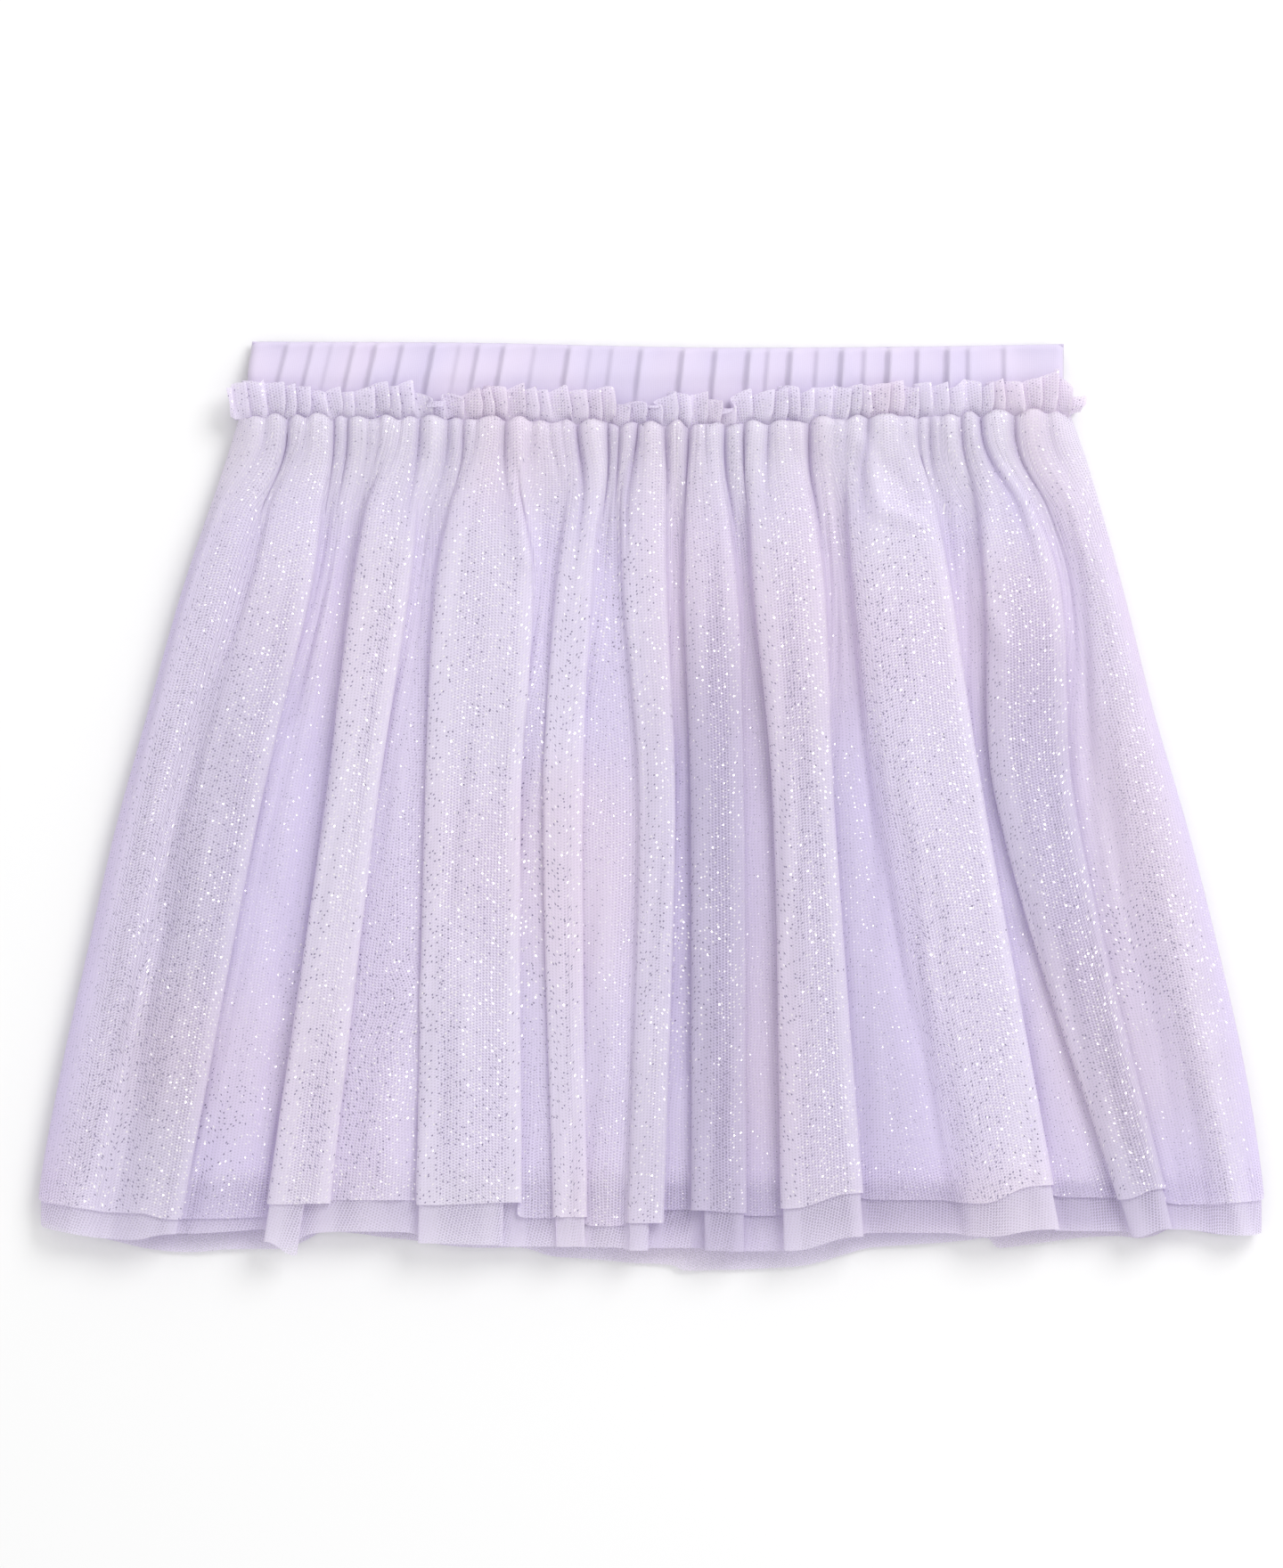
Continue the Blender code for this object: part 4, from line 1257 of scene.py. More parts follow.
    def add_foil(
        self,
        tree: bpy.types.NodeTree,
        shader: bpy.types.Node,
        flat: bpy.types.NodeSocket,
        colour: bpy.types.NodeSocket,
    ) -> bpy.types.NodeSocket:
        """Adds the glitter dots over the net.

        Args:
            tree: The node tree.
            shader: The threads' Principled shader, which the dots share.
            flat: Socket of the places on the cloth laid flat.
            colour: Socket of the threads' colour.

        Returns:
            Socket that is 1 on a dot and 0 elsewhere.
        """
        foil = self.foil
        cells = add(tree, "ShaderNodeTexVoronoi",
                    {"Vector": flat, "Scale": 1 / foil.spacing, "Randomness": foil.scatter}, voronoi_dimensions="2D")
        part = add(tree, "ShaderNodeAttribute", attribute_name="shown").outputs["Fac"]
        reach = add(tree, "ShaderNodeMath", {0: part, 1: foil.size / 2 / foil.spacing}, operation="MULTIPLY")
        near = add(tree, "ShaderNodeMath", {0: cells.outputs["Distance"], 1: reach.outputs[0]},
                   operation="LESS_THAN").outputs[0]
        parts = add(tree, "ShaderNodeSeparateColor", {0: cells.outputs["Color"]})
        kept = add(tree, "ShaderNodeMath", {0: parts.outputs[2], 1: foil.share}, operation="LESS_THAN").outputs[0]
        dot = add(tree, "ShaderNodeMath", {0: near, 1: kept}, operation="MULTIPLY").outputs[0]
        # A dot is bright or dull by the mark read here: painted glint where it faces the lamp, painted shade where it
        # is turned away.
        painted_dot_shade = add(tree, "ShaderNodeAttribute", attribute_name="painted_dot_shade").outputs["Fac"]
        dull = add(tree, "ShaderNodeMath", {0: parts.outputs[0], 1: painted_dot_shade}, operation="LESS_THAN").outputs[0]
        metal = add(tree, "ShaderNodeMix", {0: dull, 6: linear(foil.bright_hex), 7: linear(foil.dull_hex)},
                    data_type="RGBA").outputs[2]
        shown = add(tree, "ShaderNodeMix", {0: dot, 6: colour, 7: metal}, data_type="RGBA")
        tree.links.new(shown.outputs[2], shader.inputs["Base Color"])
        tree.links.new(dot, shader.inputs["Metallic"])
        rough = add(tree, "ShaderNodeMapRange", {"Value": dot, "To Min": self.roughness, "To Max": foil.roughness})
        tree.links.new(rough.outputs[0], shader.inputs["Roughness"])
        geometry = add(tree, "ShaderNodeNewGeometry")
        spread = add(tree, "ShaderNodeVectorMath", {0: cells.outputs["Color"], 1: (0.5, 0.5, 0.5)},
                     operation="SUBTRACT").outputs[0]
        lean = add(tree, "ShaderNodeMath", {0: dot, 1: foil.tilt}, operation="MULTIPLY").outputs[0]
        tilted = add(tree, "ShaderNodeVectorMath", {0: spread, "Scale": lean}, operation="SCALE").outputs[0]
        total = add(tree, "ShaderNodeVectorMath", {0: geometry.outputs["Normal"], 1: tilted}, operation="ADD")
        normal = add(tree, "ShaderNodeVectorMath", {0: total.outputs[0]}, operation="NORMALIZE").outputs[0]
        tree.links.new(normal, shader.inputs["Normal"])
        return dot


@dataclass(frozen=True)
class Jersey:
    """Single-knit cotton: matt, soft, with fine upright wales and a faint fuzz.

    Attributes:
        name: The material's name.
        face_hex: Colour of the loops.
        shade_hex: Colour between the wales, painted shade in the knit's grooves, and of slight patches of uneven
            tone.
        blush_hex: Faint pink in patches.
        wale: Distance between wales. Real ones are 0.7 mm, drawn wider so that they show.
        course: Height of a row of loops.
        relief: Height of the wales.
        strength: How much of that height the light shows.
        roughness: Roughness of the loops.
        sheen: Sheen of their fuzz.
    """

    name: str
    face_hex: str
    shade_hex: str
    blush_hex: str
    wale: float = 0.9
    course: float = 0.8
    relief: float = 0.06
    strength: float = 0.35
    roughness: float = 0.9
    sheen: float = 0.3

    def material(self) -> bpy.types.Material:
        """Makes the material, whose wales and courses follow the cloth laid flat.

        Returns:
            The material.
        """
        material, tree, shader = blank_material(self.name)
        flat = add(tree, "ShaderNodeUVMap", uv_map="cloth").outputs[0]
        wales = add(tree, "ShaderNodeTexWave", {"Vector": flat, "Scale": 1 / self.wale / 2.0, "Distortion": 0.6,
                                                "Detail": 1.0, "Detail Scale": 0.5}, bands_direction="X")
        courses = add(tree, "ShaderNodeTexWave", {"Vector": flat, "Scale": 1 / self.course / 2.0,
                                                  "Distortion": 0.8}, bands_direction="Y")
        knit = add(tree, "ShaderNodeMix", {0: 0.3, 2: wales.outputs["Fac"], 3: courses.outputs["Fac"]}).outputs[0]
        mottle = add(tree, "ShaderNodeTexNoise", {"Vector": flat, "Scale": 1 / 9.0, "Detail": 3.0}).outputs[0]
        blend = add(tree, "ShaderNodeMix", {0: 0.5, 2: knit, 3: mottle}).outputs[0]
        # Painted shade between the wales, and uneven tone in slight patches.
        loops = add(tree, "ShaderNodeMix", {0: blend, 6: linear(self.shade_hex), 7: linear(self.face_hex)},
                    data_type="RGBA").outputs[2]
        warm = add(tree, "ShaderNodeTexNoise", {"Vector": flat, "Scale": 1 / 28.0, "Detail": 1.0}).outputs[0]
        blush = add(tree, "ShaderNodeMapRange", {"Value": warm, 1: 0.4, 2: 0.7, 4: 0.55}).outputs[0]
        colour = add(tree, "ShaderNodeMix", {0: blush, 6: loops, 7: linear(self.blush_hex)},
                     data_type="RGBA").outputs[2]
        tree.links.new(colour, shader.inputs["Base Color"])
        bump = add(tree, "ShaderNodeBump", {"Height": knit, "Strength": self.strength, "Distance": self.relief * MM})
        tree.links.new(bump.outputs[0], shader.inputs["Normal"])
        shader.inputs["Roughness"].default_value = self.roughness
        shader.inputs["Sheen Weight"].default_value = self.sheen
        return material


@dataclass(frozen=True)
class Thread:
    """Spun polyester sewing thread, whose plies are twisted; the fine darker grooves between them are painted shade.

    Attributes:
        name: The material's name.
        hex_code: Colour of the plies.
        groove_share: Brightness of the painted shade of the grooves between them, as a share of the plies'.
        roughness: Roughness of the thread.
    """

    name: str
    hex_code: str
    groove_share: float = 0.7
    roughness: float = 0.7

    def material(self) -> bpy.types.Material:
        """Makes the material, with the twist of the yarn as fine flecks of painted shade.

        Returns:
            The material.
        """
        material, tree, shader = blank_material(self.name)
        place = add(tree, "ShaderNodeTexCoord").outputs["Object"]
        twist = add(tree, "ShaderNodeTexNoise", {"Vector": place, "Scale": 900.0, "Detail": 1.0}).outputs[0]
        dark = tuple(self.groove_share * value for value in linear(self.hex_code)[:3]) + (1.0,)
        # Painted shade of the grooves between the plies, in random flecks.
        colour = add(tree, "ShaderNodeMix", {0: twist, 6: dark, 7: linear(self.hex_code)}, data_type="RGBA")
        tree.links.new(colour.outputs[2], shader.inputs["Base Color"])
        shader.inputs["Roughness"].default_value = self.roughness
        return material


@dataclass
class Skirt:
    """The two gathered tulle layers below the gathering line, front and back.

    Attributes:
        finishes: Material of each tulle.
        front_offset: Distance of each front layer from the surface between them.
        back_offset: The same for the back, where its layers turn up at the sides.
        back_columns: Columns of the back's grid.
        back_rows: Rows of the back's grid.
        back_turn: Inset of the back where it turns up at the sides.
        back_lift: Height of the plain layer's pleats, for a pleat of height 1.
        back_room: Most that the glitter layer lifts off the table.
        pleat_lift: Height of the glitter layer's pleats, for a pleat of height 1.
        pleat_step: Half width of the step at a pleat's folded edge.
        pleat_fall: Width over which the cloth comes back down beside it.
        pleat_band: Width of the doubled cloth along the edge.
        wave_lift: Height of the soft waves between the pleats.
        gather_lift: How far the cloth between two gathers lifts off the table.
        groove_lift: How far the grooves lift it further.
        double_closed: How much more closed the net is where the cloth is double.
        lift_shade: How strongly shade is painted on cloth that lifts off the table.
    """

    finishes: dict[Layer, bpy.types.Material]
    front_offset: float = 0.45
    back_offset: float = 0.5
    back_columns: int = 420
    back_rows: int = 60
    back_turn: float = 0.8
    back_lift: float = 0.75
    back_room: float = 1.15
    pleat_lift: float = 1.3
    pleat_step: float = 1.1
    pleat_fall: float = 15.0
    pleat_band: float = 7.0
    wave_lift: float = 0.22
    gather_lift: float = 0.8
    groove_lift: float = 0.35
    double_closed: float = 0.6
    lift_shade: float = 0.3

    def front(self, layer: Layer) -> bpy.types.Object:
        """Makes one layer of the front.

        Args:
            layer: Which tulle.

        Returns:
            The new object.
        """
        offset = self.front_offset if layer is Layer.GLITTER else -self.front_offset
        drape = FrontDrape()
        surface, marks = drape.surface(layer, offset)
        flat, turns = drape.pattern(surface)
        piece = grid_piece(f"{layer.value}_skirt_front", surface, flat, self.finishes[layer], marks, turns=turns)
        LOG.info("%s is %.0f mm wide at its hem", piece.name, flat[-1, -1, 0])
        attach(piece, BODY)
        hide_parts(f"{layer.value}_tulle_front")
        return piece

    def pressed(self, surface: np.ndarray) -> tuple[np.ndarray, np.ndarray]:
        """Works out the pleats and gathers of the back, pressed on the table.

        Args:
            surface: Grid of points.

        Returns:
            How far each point lifts off the table, and where the cloth lies double, from 0 to 1.
        """
        share = np.linspace(0.0, 1.0, surface.shape[1])[None, :]
        below = surface[0, :, 1][None, :] - surface[..., 1]
        width = (surface[:, -1, 0] - surface[:, 0, 0])[:, None]
        calm = ramps(np.minimum(share, 1.0 - share) * width, 3.5, 9.0)
        place = mix(OUTLINE[-1].left, OUTLINE[-1].right, share) + 1.6 * waves(below, (83.0, 147.0), 21)
        steps = [Groove(pleat.x, pleat.height) for pleat in BACK_PLEATS]
        lift = self.pleat_lift * ridges(place, steps, self.pleat_step, self.pleat_fall) * ramps(below, 6.0, 70.0)
        lift += self.wave_lift * (1.0 + waves(place, (23.0, 37.0), 22)) * ramps(below, 20.0, 60.0)
        seam_x = -mix(OUTLINE[0].left, OUTLINE[0].right, share)
        swell, depth = puffs(seam_x, GATHERS, 1.3)
        fading = 1.0 - ramps(below, 10.0, 46.0)
        lift = lift + (self.gather_lift * np.clip(1.0 - swell, 0.0, 1.0) + self.groove_lift * depth) * fading
        double = sum(ramps(place, pleat.x - self.pleat_band - 1.5, pleat.x - self.pleat_band)
                     * (1.0 - ramps(place, pleat.x - 0.5, pleat.x + 0.5)) for pleat in BACK_PLEATS)
        calm = calm * ramps(below, 5.0, 12.0)
        return np.clip(lift, 0.0, self.back_room) * calm, double * ramps(below, 20.0, 70.0)

    def back(self, layer: Layer) -> bpy.types.Object:
        """Makes one layer of the back, which lies flat and turns up at the sides.

        Args:
            layer: Which tulle.

        Returns:
            The new object.
        """
        shares = np.linspace(0.0, 1.0, self.back_columns + 1)
        offset = -self.back_offset if layer is Layer.GLITTER else self.back_offset
        inner = NET_HALF + offset
        rows = []
        for down in np.linspace(0.0, 1.0, self.back_rows + 1):
            row = []
            for share in shares:
                seam_x = mix(OUTLINE[0].left, OUTLINE[0].right, share)
                hem_x = mix(OUTLINE[-1].left, OUTLINE[-1].right, share)
                y = mix(line_y(SEAM_LINE, seam_x) - SEAM_GAP / 2, line_y(BACK_HEMS[layer], hem_x), down)
                left, right = edge_x(OUTLINE, y, Side.LEFT), edge_x(OUTLINE, y, Side.RIGHT)
                x = mix(left, right, share)
                from_side = min(x - left, right - x)
                turn = 1.0 - ramp(from_side, 0.0, 3.5)
                x += (inner + self.back_turn * (1.0 - turn)) * turn * (1 if share < 0.5 else -1)
                ridge = sum(p.height * math.exp(-(((hem_x - p.x) / p.width) ** 2)) for p in BACK_PLEATS)
                z = BACK_Z + offset + self.back_lift * ridge * ramp(down, 0.05, 0.6) * (1.0 - turn)
                if layer is Layer.GLITTER:
                    z = mix(z, REST_Z, 1.0 - turn)
                row.append((x, y, mix(z, SIDE_Z + SEAM_OVERLAP, turn ** 2)))
            rows.append(row)
        surface = np.array(rows)
        pressed, double = self.pressed(surface)
        if layer is Layer.GLITTER:
            surface[..., 2] += pressed
        flat = cloth_map(surface, FLAT_ROW)
        down = np.linspace(0.0, 1.0, self.back_rows + 1)[:, None] * np.ones((1, self.back_columns + 1))
        # Painted shadow where the back lies below the shorts' hem, and painted shade where the glitter lifts off the
        # table.
        painted_shade = 0.5 * ramps(-surface[..., 1], 120.0, 126.0) * (1.0 - ramps(-surface[..., 1], 137.0, 144.0))
        closed = 0.5 * (1.0 - ramps(down, 0.03, 0.35))
        if layer is Layer.GLITTER:
            closed += self.double_closed * double
            painted_shade += self.lift_shade * pressed
        marks = cloth_marks(surface, flat, np.full(down.shape, 0.3), closed, painted_shade)
        piece = grid_piece(f"{layer.value}_skirt_back", surface, flat, self.finishes[layer], marks, face_down=True)
        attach(piece, BODY)
        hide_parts(f"{layer.value}_tulle_back")
        return piece


@dataclass
class Frill:
    """The header of both tulles above the gathering line, in small ruffles that lie over each other.

    Attributes:
        finishes: Material of each tulle.
        height: Height above the gathering line.
        ruffles: Number of ruffles across.
        points: Columns for each ruffle.
        rows: Rows from the line to the top edge.
        fold: How far a ruffle swings sideways, which lays it over its neighbour.
        swing: How far a ruffle swings up and down.
        lean: How far the top of a ruffle may lean.
        bulge: How far the ruffles swell just above the line.
        layer_offset: Distance of each front layer from the surface between them.
        back_size: Size of the back's ruffles, as a share of the front's.
        back_swing: How far the back's ruffles swell and swing downwards, as a share of the front's.
        back_shift: How far the back's plain ruffles lie beside the glitter ones, in ruffles.
        glitter_back_z: Height of the back's glitter layer above the table.
        plain_back_z: Height of the back's plain layer above the table.
        left_x: Left end of the frill.
        right_x: Right end of the frill.
    """

    finishes: dict[Layer, bpy.types.Material]
    height: float = 10.6
    ruffles: int = 56
    points: int = 14
    rows: int = 18
    fold: float = 2.1
    swing: float = 0.9
    lean: float = 1.6
    bulge: float = 0.45
    layer_offset: float = 0.2
    back_size: float = 0.55
    back_swing: float = 0.28
    back_shift: float = 0.12
    glitter_back_z: float = 1.0
    plain_back_z: float = 1.6
    left_x: float = -137.4
    right_x: float = 138.6

    def ends(self, x: np.ndarray, layer: Layer) -> np.ndarray:
        """Gives the extra height at the right end, where a flap stands up, and the dip near the left end.

        Args:
            x: Places along the frill.
            layer: Which tulle. The plain one is a little lower.

        Returns:
            The change of height at each place.
        """
        flap = 3.4 * np.exp(-(((x - 131.5) / 3.2) ** 2)) - 6.0 * ramps(x, 132.5, 138.5)
        flap -= 2.5 * (1.0 - ramps(x, -137.5, -133.0))
        dip = 1.5 * np.exp(-(((x + 101.0) / 9.0) ** 2)) - 1.2 * np.exp(-(((x + 128.0) / 7.0) ** 2))
        return flap - dip - (0.7 if layer is Layer.PLAIN else 0.0)

    def surface(self, half: Half, layer: Layer) -> tuple[np.ndarray, np.ndarray]:
        """Works out the ruffles of one layer of one half.

        Args:
            half: Front or back.
            layer: Which tulle.

        Returns:
            Grid of points, from the top edge to the gathering line, and how near each is to a folded edge.
        """
        front = half is Half.FRONT
        random = np.random.default_rng(21 if front else 31)
        along = np.linspace(0.0, 1.0, self.ruffles * self.points + 1)
        place = along * self.ruffles
        knots = np.arange(self.ruffles + 2)

        def uneven(low: float, high: float) -> np.ndarray:
            """Draws a value for each ruffle and returns what lies between them at every place."""
            return np.interp(place, knots, random.uniform(low, high, len(knots)))

        x = mix(self.left_x, self.right_x, along)
        outer = layer is Layer.GLITTER
        shift = 0.0 if front or outer else self.back_shift
        phase = 2 * math.pi * (place + shift + uneven(-0.3, 0.3))
        size = uneven(0.5, 1.25) * (1.0 if front else self.back_size)
        lean = self.lean * (uneven(-1.0, 0.7) - 0.9 * (1.0 - ramps(x, -40.0, 40.0)))
        tall = self.height * uneven(0.9, 1.07) + self.ends(x, layer)
        late = uneven(-0.6, 0.6)
        curls = sum(c.depth * np.exp(-(((x - c.x) / 4.0) ** 2)) for c in FRILL_CURLS) * (1.0 if front else 0.0)
        seam = np.array([seam_y(float(value)) for value in x])
        base = SEAM_Z - 0.1 if front else (self.glitter_back_z if outer else self.plain_back_z)
        rows = []
        for share in np.linspace(1.0, 0.0, self.rows + 1):
            swing = self.swing * size * (0.3 + 0.7 * ramp(share, 0.0, 0.22)) * (1.0 + 0.3 * share)
            fold = self.fold * size * (0.5 + 0.5 * ramp(share, 0.0, 0.45))
            turned = phase + late * share
            swell = self.bulge * math.sin(math.pi * min(share * 1.15, 1.0)) ** 0.7 if share > 0 else 0.0
            tucked = (1.0 - share) ** 6
            crest = np.sin(turned) if front else np.cos(turned)
            z = base + (swell + swing * (1.0 + crest) + 2.4 * curls * share) * (1.0 if front else -self.back_swing)
            z -= 0.6 * tucked * (1.0 if front else 0.0)
            up = tall * (share * (1.0 - curls) + 0.62 * curls * math.sin(math.pi * 0.86 * share))
            y = seam + SEAM_GAP / 2 + up + 0.35 * swing * np.sin(turned) * share - 0.9 * tucked
            rows.append(np.stack([x + fold * np.sin(turned) + lean * share, y, z], axis=-1))
        edges = np.abs(np.sin(phase)) ** 3
        surface = np.array(rows)
        if front:
            surface = surface + normals_of(surface) * (self.layer_offset if outer else -self.layer_offset)
        return surface, np.broadcast_to(edges, (self.rows + 1, len(edges)))

    def build(self, half: Half, layer: Layer) -> bpy.types.Object:
        """Makes one layer of one half of the frill.

        Args:
            half: Front or back.
            layer: Which tulle.

        Returns:
            The new object.
        """
        surface, edges = self.surface(half, layer)
        flat = cloth_map(surface, 0.3)
        even = np.ones(surface.shape[:2])
        marks = cloth_marks(surface, flat, 0.7 * even, 0.45 * even + 0.4 * edges, np.zeros_like(even))
        marks["shown"] *= 0.75
        marks["painted_dot_shade"] *= 0.6
        piece = grid_piece(f"{layer.value}_frill_{half.value}", surface, flat, self.finishes[layer], marks,
                           face_down=half is Half.BACK)
        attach(piece, BODY)
        if layer is Layer.GLITTER:
            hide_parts(f"frill_{half.value}")
        LOG.info("%s is %.0f mm wide when flat", piece.name, flat[..., 0].max())
        return piece


@dataclass
class Waistband:
    """The knit casing of the elastic, a flattened tube with soft gathers.

    Attributes:
        finish: The jersey.
        columns: Columns of the grid of each half.
        rows: Rows of the grid of each half.
        under: How far the band runs on below the gathering line.
        round_top: Height over which the top edge turns to the other half.
        round_side: Width over which the sides do.
        gather_height: Swell of the gathers.
        mean_swell: Swell that lies at the band's own height.
        groove_width: Half width of a groove.
        groove_depth: What a groove's depth is multiplied with.
        notch: How far a groove of depth 1 dips the front's top edge.
        ridge_height: Height of the ridge beside a groove of depth 1.
        mean_ridge: Ridge that lies at the band's own height.
        rise: Half width of a ridge's steep side.
        fall: Width over which its gentle side comes down to about a third.
        hidden_share: Share of the relief that is left behind the frill.
        back_share: Share of the relief that the back has.
        back_ridge: How far the back's ridges come out at most.
        sag_start: Height on the garment from which the band sinks towards the table.
        sag_end: Height from which it has sunk all the way.
    """

    finish: bpy.types.Material
    columns: int = 420
    rows: int = 30
    under: float = 2.0
    round_top: float = 2.2
    round_side: float = 2.6
    gather_height: float = 0.45
    mean_swell: float = 0.7
    groove_width: float = 1.15
    groove_depth: float = 0.35
    notch: float = 0.3
    ridge_height: float = 2.8
    mean_ridge: float = 0.4
    rise: float = 1.25
    fall: float = 2.6
    hidden_share: float = 0.4
    back_share: float = 0.8
    back_ridge: float = 0.45
    sag_start: float = 138.8
    sag_end: float = 149.5

    def surface(self, half: Half) -> np.ndarray:
        """Works out the outer side of one half, whose edges turn towards the other half.

        Args:
            half: Front or back.

        Returns:
            Grid of points.
        """
        front = half is Half.FRONT
        shares = np.linspace(0.0, 1.0, self.columns + 1)
        rows = []
        for down in np.linspace(0.0, 1.0, self.rows + 1) ** 1.3:
            row = []
            for share in shares:
                flat_x = mix(BAND_SIDES[0].left, BAND_SIDES[0].right, share)
                top = line_y(BAND_TOP, flat_x)
                y = mix(top, line_y(SEAM_LINE, flat_x) - self.under, down)
                left, right = edge_x(BAND_SIDES, y, Side.LEFT), edge_x(BAND_SIDES, y, Side.RIGHT)
                x = mix(left, right, share)
                sag = (BAND_BACK_Z - LAYER_GAP) * ramp(y, self.sag_start, self.sag_end)
                middle = BAND_FRONT_Z - SEAM_GAP / 2 - sag
                high = middle + BAND_WALL + 0.1 if front else middle - BAND_WALL
                near = max(1.0 - (top - y) / self.round_top, 0.0)
                aside = max(1.0 - min(x - left, right - x) / self.round_side, 0.0)
                round_off = math.sqrt(max(1.0 - min(near * near + aside * aside, 1.0), 0.0))
                row.append((x, y, mix(middle, high, round_off)))
            rows.append(row)
        surface = np.array(rows)
        across = surface[..., 0] if front else BAND_SIDES[0].left + BAND_SIDES[0].right - surface[..., 0]
        lean = 0.2 * (surface[..., 1] - 143.0) * np.clip(0.6 - across / 200.0, 0.0, 1.2)
        swell, depth = puffs(across - lean, BAND_GROOVES, self.groove_width)
        inside = ramps(across, BAND_SIDES[0].left + 1.0, BAND_GROOVES[0].x)
        inside = inside * (1.0 - ramps(across, BAND_GROOVES[-1].x, BAND_SIDES[0].right - 1.0))
        upper = ramps(surface[0, :, 1][None, :] - surface[..., 1], 0.0, self.round_top)
        ridge = ridges(across - lean, BAND_GROOVES, self.rise, self.fall)
        relief = self.gather_height * (swell - self.mean_swell) * inside
        relief += self.ridge_height * (ridge - self.mean_ridge) * inside
        relief -= self.groove_depth * depth
        if front:
            relief = relief * mix(self.hidden_share, 1.0, ramps(surface[..., 1], 130.0, 139.0))
            surface[..., 2] += relief * (0.35 + 0.65 * upper)
            surface[..., 1] -= self.notch * depth * (1.0 - upper)
        else:
            lowest = np.maximum(surface[..., 2] - self.back_ridge, REST_Z)
            pressed = np.maximum(surface[..., 2] - self.back_share * relief * upper, lowest)
            surface[..., 2] = np.minimum(pressed, BAND_FRONT_Z - SEAM_GAP / 2)
        return surface

    def build(self, half: Half) -> bpy.types.Object:
        """Makes one half of the band.

        Args:
            half: Front or back.

        Returns:
            The new object.
        """
        surface = self.surface(half)
        piece = grid_piece(f"waistband_{half.value}_jersey", surface, cloth_map(surface, 0.5), self.finish,
                           face_down=half is Half.BACK)
        thicken(piece, 0.5)
        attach(piece, BODY)
        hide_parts(f"waistband_{half.value}")
        return piece


@dataclass
class Shorts:
    """The built-in shorts, as four panels that lie on each other.

    Attributes:
        finish: The jersey.
        columns: Columns of a panel's grid.
        rows: Rows of a panel's grid.
        band_under: How far below the gathering line a panel starts.
        round_edge: Width over which its edges turn to the other half.
        hem_height: Height of the hem, where the jersey is double.
        hem_step: How far the hem stands out.
        softness: Height of the jersey's soft waves.
    """

    finish: bpy.types.Material
    columns: int = 60
    rows: int = 110
    band_under: float = 2.0
    round_edge: float = 3.0
    hem_height: float = 16.0
    hem_step: float = 0.25
    softness: float = 0.12

    def surface(self, half: Half, side: Side) -> np.ndarray:
        """Works out the outer side of a panel, whose edges turn towards the other half.

        Args:
            half: Front or back.
            side: Left or right leg.

        Returns:
            Grid of points.
        """
        front = half is Half.FRONT
        middle = (SHORTS_FRONT_Z + SHORTS_BACK_Z) / 2
        level = (SHORTS_FRONT_Z + KNIT_WALL / 2) if front else (SHORTS_BACK_Z - KNIT_WALL / 2)
        gap = -SEAM_GAP / 2 if side is Side.LEFT else SEAM_GAP / 2
        rows = []
        for down in np.linspace(0.0, 1.0, self.rows + 1):
            row = []
            for share in np.linspace(0.0, 1.0, self.columns + 1):
                top_x = mix(edge_x(SHORTS_SIDES, WAIST_Y, side), CROTCH.x, share)
                y = mix(line_y(SEAM_LINE, top_x) - self.band_under - SEAM_GAP, SHORTS_HEMS[side], down)
                inner = edge_x(INSEAM, y, side) if y < CROTCH.y else CROTCH.x
                outer = edge_x(SHORTS_SIDES, y, side)
                x = mix(outer, inner + gap, share)
                leg = 1.0 if y < CROTCH.y else 0.0
                near = 1.0 - min(abs(x - outer), abs(x - inner) if leg else self.round_edge) / self.round_edge
                round_off = math.sqrt(max(1.0 - max(near, 0.0) ** 2, 0.0))
                hem = self.hem_step * (1.0 - ramp(y - SHORTS_HEMS[side], self.hem_height - 1.0, self.hem_height))
                row.append((x, y, mix(middle, level + (hem if front else -hem), round_off)))
            rows.append(row if side is Side.LEFT else row[::-1])
        surface = np.array(rows)
        soft = waves(surface[..., 0] + 0.1 * surface[..., 1], (23.0, 37.0), 8) * waves(surface[..., 1], (70.0,), 9)
        surface[..., 2] += self.softness * soft * (1 if front else -1)
        return surface

    def build(self, half: Half, side: Side) -> bpy.types.Object:
        """Makes one panel.

        Args:
            half: Front or back.
            side: Left or right leg.

        Returns:
            The new object.
        """
        surface = self.surface(half, side)
        piece = grid_piece(f"shorts_{half.value}_{side.value}_jersey", surface, cloth_map(surface, 0.5),
                           self.finish, face_down=half is Half.BACK)
        thicken(piece, 0.5)
        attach(piece, BODY)
        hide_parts(f"shorts_{half.value}_{side.value}")
        return piece


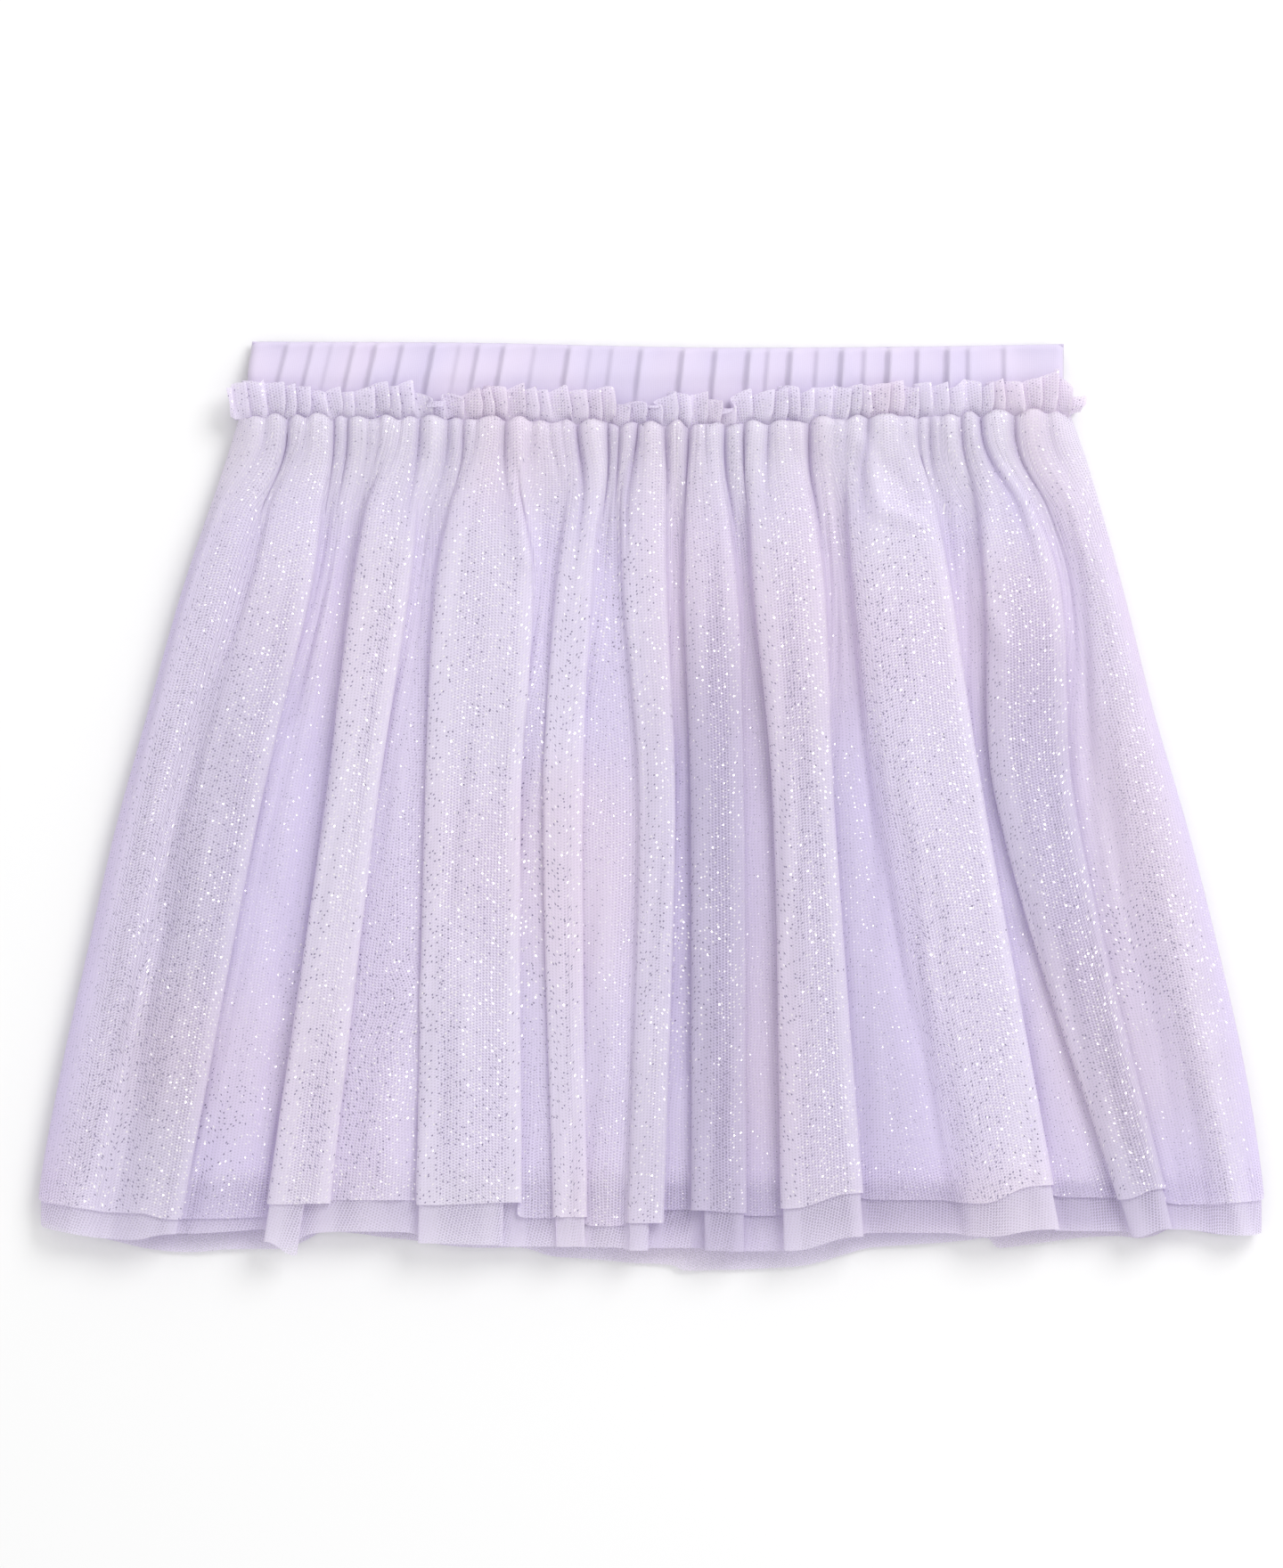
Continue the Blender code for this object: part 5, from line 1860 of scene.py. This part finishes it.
@dataclass
class GatheringStitches:
    """The row of stitches that holds the gathers, a little puckered.

    Attributes:
        finish: The thread.
        pitch: Distance between the starts of two stitches.
        length: Length of a stitch.
        size: Thickness of the thread.
        sink: How far the row lies below the height of the seam.
        pucker: How far it rises and falls.
        pucker_rate: How fast it does, as an angle for each millimetre.
        left_x: Left end of the row.
        right_x: Right end of the row.
    """

    finish: bpy.types.Material
    pitch: float = 2.6
    length: float = 2.0
    size: float = 0.5
    sink: float = 0.4
    pucker: float = 0.25
    pucker_rate: float = 0.9
    left_x: float = -134.0
    right_x: float = 137.0

    def build(self) -> bpy.types.Object:
        """Makes the stitches as one piece.

        Returns:
            The new object.
        """
        mesh = bmesh.new()
        count = round((self.right_x - self.left_x) / self.pitch)
        for number in range(count):
            x = mix(self.left_x, self.right_x, (number + 0.5) / count)
            lift = self.pucker * math.sin(x * self.pucker_rate)
            place = Matrix.Translation(Vector((x, seam_y(x), SEAM_Z - self.sink + lift)) * MM)
            shape = Matrix.Diagonal((self.length / 2 * MM, self.size / 2 * MM, self.size / 2 * MM, 1.0))
            bmesh.ops.create_uvsphere(mesh, u_segments=8, v_segments=6, radius=1.0, matrix=place @ shape)
        data = bpy.data.meshes.new("gathering_stitches")
        mesh.to_mesh(data)
        mesh.free()
        data.materials.append(self.finish)
        data.shade_smooth()
        piece = bpy.data.objects.new("gathering_stitches", data)
        bpy.context.scene.collection.objects.link(piece)
        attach(piece, BODY)
        return piece


@dataclass
class Studio:
    """Pale floor, soft light from above and from the upper right, and a camera straight above the garment.

    Attributes:
        camera_height: Height of the camera above the table.
        focus_z: Height above the table at which the picture has the photograph's scale.
        floor_size: Side of the floor in metres.
        floor_hex: Colour of the floor.
        sensor: Side of the camera's sensor.
        sky: Strength of the pale sky.
        lamp_size: Width of the lamp in metres.
        lamp_energy: Its power in watts.
        lamp_place: Its place in metres.
    """

    camera_height: float = 2600.0
    focus_z: float = 9.0
    floor_size: float = 6.0
    floor_hex: str = "EAEAEA"
    sensor: float = 36.0
    sky: float = 0.92
    lamp_size: float = 1.3
    lamp_energy: float = 27.0
    lamp_place: tuple[float, float, float] = (1.1, 1.2, 1.5)

    def floor(self) -> None:
        """Makes the floor."""
        mesh = bmesh.new()
        bmesh.ops.create_grid(mesh, x_segments=1, y_segments=1, size=self.floor_size / 2)
        data = bpy.data.meshes.new("floor")
        mesh.to_mesh(data)
        mesh.free()
        material, tree, shader = blank_material("paper_floor")
        shader.inputs["Base Color"].default_value = linear(self.floor_hex)
        shader.inputs["Roughness"].default_value = 1.0
        shader.inputs["Specular IOR Level"].default_value = 0.0
        data.materials.append(material)
        floor = bpy.data.objects.new("floor", data)
        bpy.context.scene.collection.objects.link(floor)

    def light(self) -> None:
        """Makes a pale sky all round, and one broad lamp on the upper right."""
        world = bpy.data.worlds.new("studio")
        bpy.context.scene.world = world
        world.use_nodes = True
        background = world.node_tree.nodes["Background"]
        background.inputs["Color"].default_value = (1.0, 1.0, 1.0, 1.0)
        background.inputs["Strength"].default_value = self.sky
        lamp = bpy.data.lights.new("softbox", "AREA")
        lamp.shape = "DISK"
        lamp.size = self.lamp_size
        lamp.energy = self.lamp_energy
        softbox = bpy.data.objects.new("softbox", lamp)
        softbox.location = self.lamp_place
        softbox.rotation_euler = (-softbox.location).to_track_quat("-Z", "Y").to_euler()
        bpy.context.scene.collection.objects.link(softbox)

    def camera(self) -> None:
        """Makes the camera, whose frame takes in what the photograph's frame does."""
        data = bpy.data.cameras.new("camera")
        data.sensor_fit = "VERTICAL"
        data.sensor_height = self.sensor
        data.sensor_width = self.sensor
        data.lens = self.sensor * (self.camera_height - self.focus_z) / (IMAGE_SIZE_PX[1] * MM_PER_PX)
        data.clip_end = 20.0
        camera = bpy.data.objects.new("camera", data)
        x = (IMAGE_SIZE_PX[0] / 2 - ORIGIN_PX[0]) * MM_PER_PX
        y = (ORIGIN_PX[1] - IMAGE_SIZE_PX[1] / 2) * MM_PER_PX
        camera.location = Vector((x, y, self.camera_height)) * MM
        bpy.context.scene.collection.objects.link(camera)
        bpy.context.scene.camera = camera

    def build(self) -> None:
        """Makes the whole setting."""
        self.floor()
        self.light()
        self.camera()
        bpy.context.scene.view_settings.view_transform = "Standard"


def main() -> None:
    """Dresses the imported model."""
    logging.basicConfig(level=logging.INFO, format="%(name)s: %(message)s")
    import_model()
    Studio().build()
    tulles = {
        # Tulle colours: threads on the ridges, painted shade of the valleys, faint pink, and painted shade where
        # little light comes back.
        Layer.GLITTER: Tulle("glitter_nylon_tulle", "F2EDF7", "ECE4F9", "F3E8F3", "C6BCD8", foil=Foil()).material(),
        Layer.PLAIN: Tulle("plain_nylon_tulle", "EAE4F2", "E8E0F4", "EAE1EF", "C4BAD6",
                           column=1.02, row=0.91, turn=0.1).material(),
    }
    band_jersey = Jersey("cotton_jersey_band", "CDC5DA", "C0B6D2", "D1C5D9").material()
    shorts_jersey = Jersey("cotton_jersey_shorts", "DCD0F5", "D5C7F1", "E0D0F1").material()
    thread = Thread("polyester_thread", "C9B9E2").material()
    skirt = Skirt(tulles)
    frill = Frill(tulles)
    waistband = Waistband(band_jersey)
    shorts = Shorts(shorts_jersey)
    pieces = [GatheringStitches(thread).build()]
    for half in Half:
        pieces.append(waistband.build(half))
        pieces += [shorts.build(half, side) for side in Side]
        for layer in Layer:
            pieces.append(frill.build(half, layer))
            pieces.append(skirt.front(layer) if half is Half.FRONT else skirt.back(layer))
    for piece in pieces:
        LOG.info("%s: %d faces", piece.name, len(piece.data.polygons))
    bpy.context.view_layer.update()


if __name__ == "__main__":
    main()
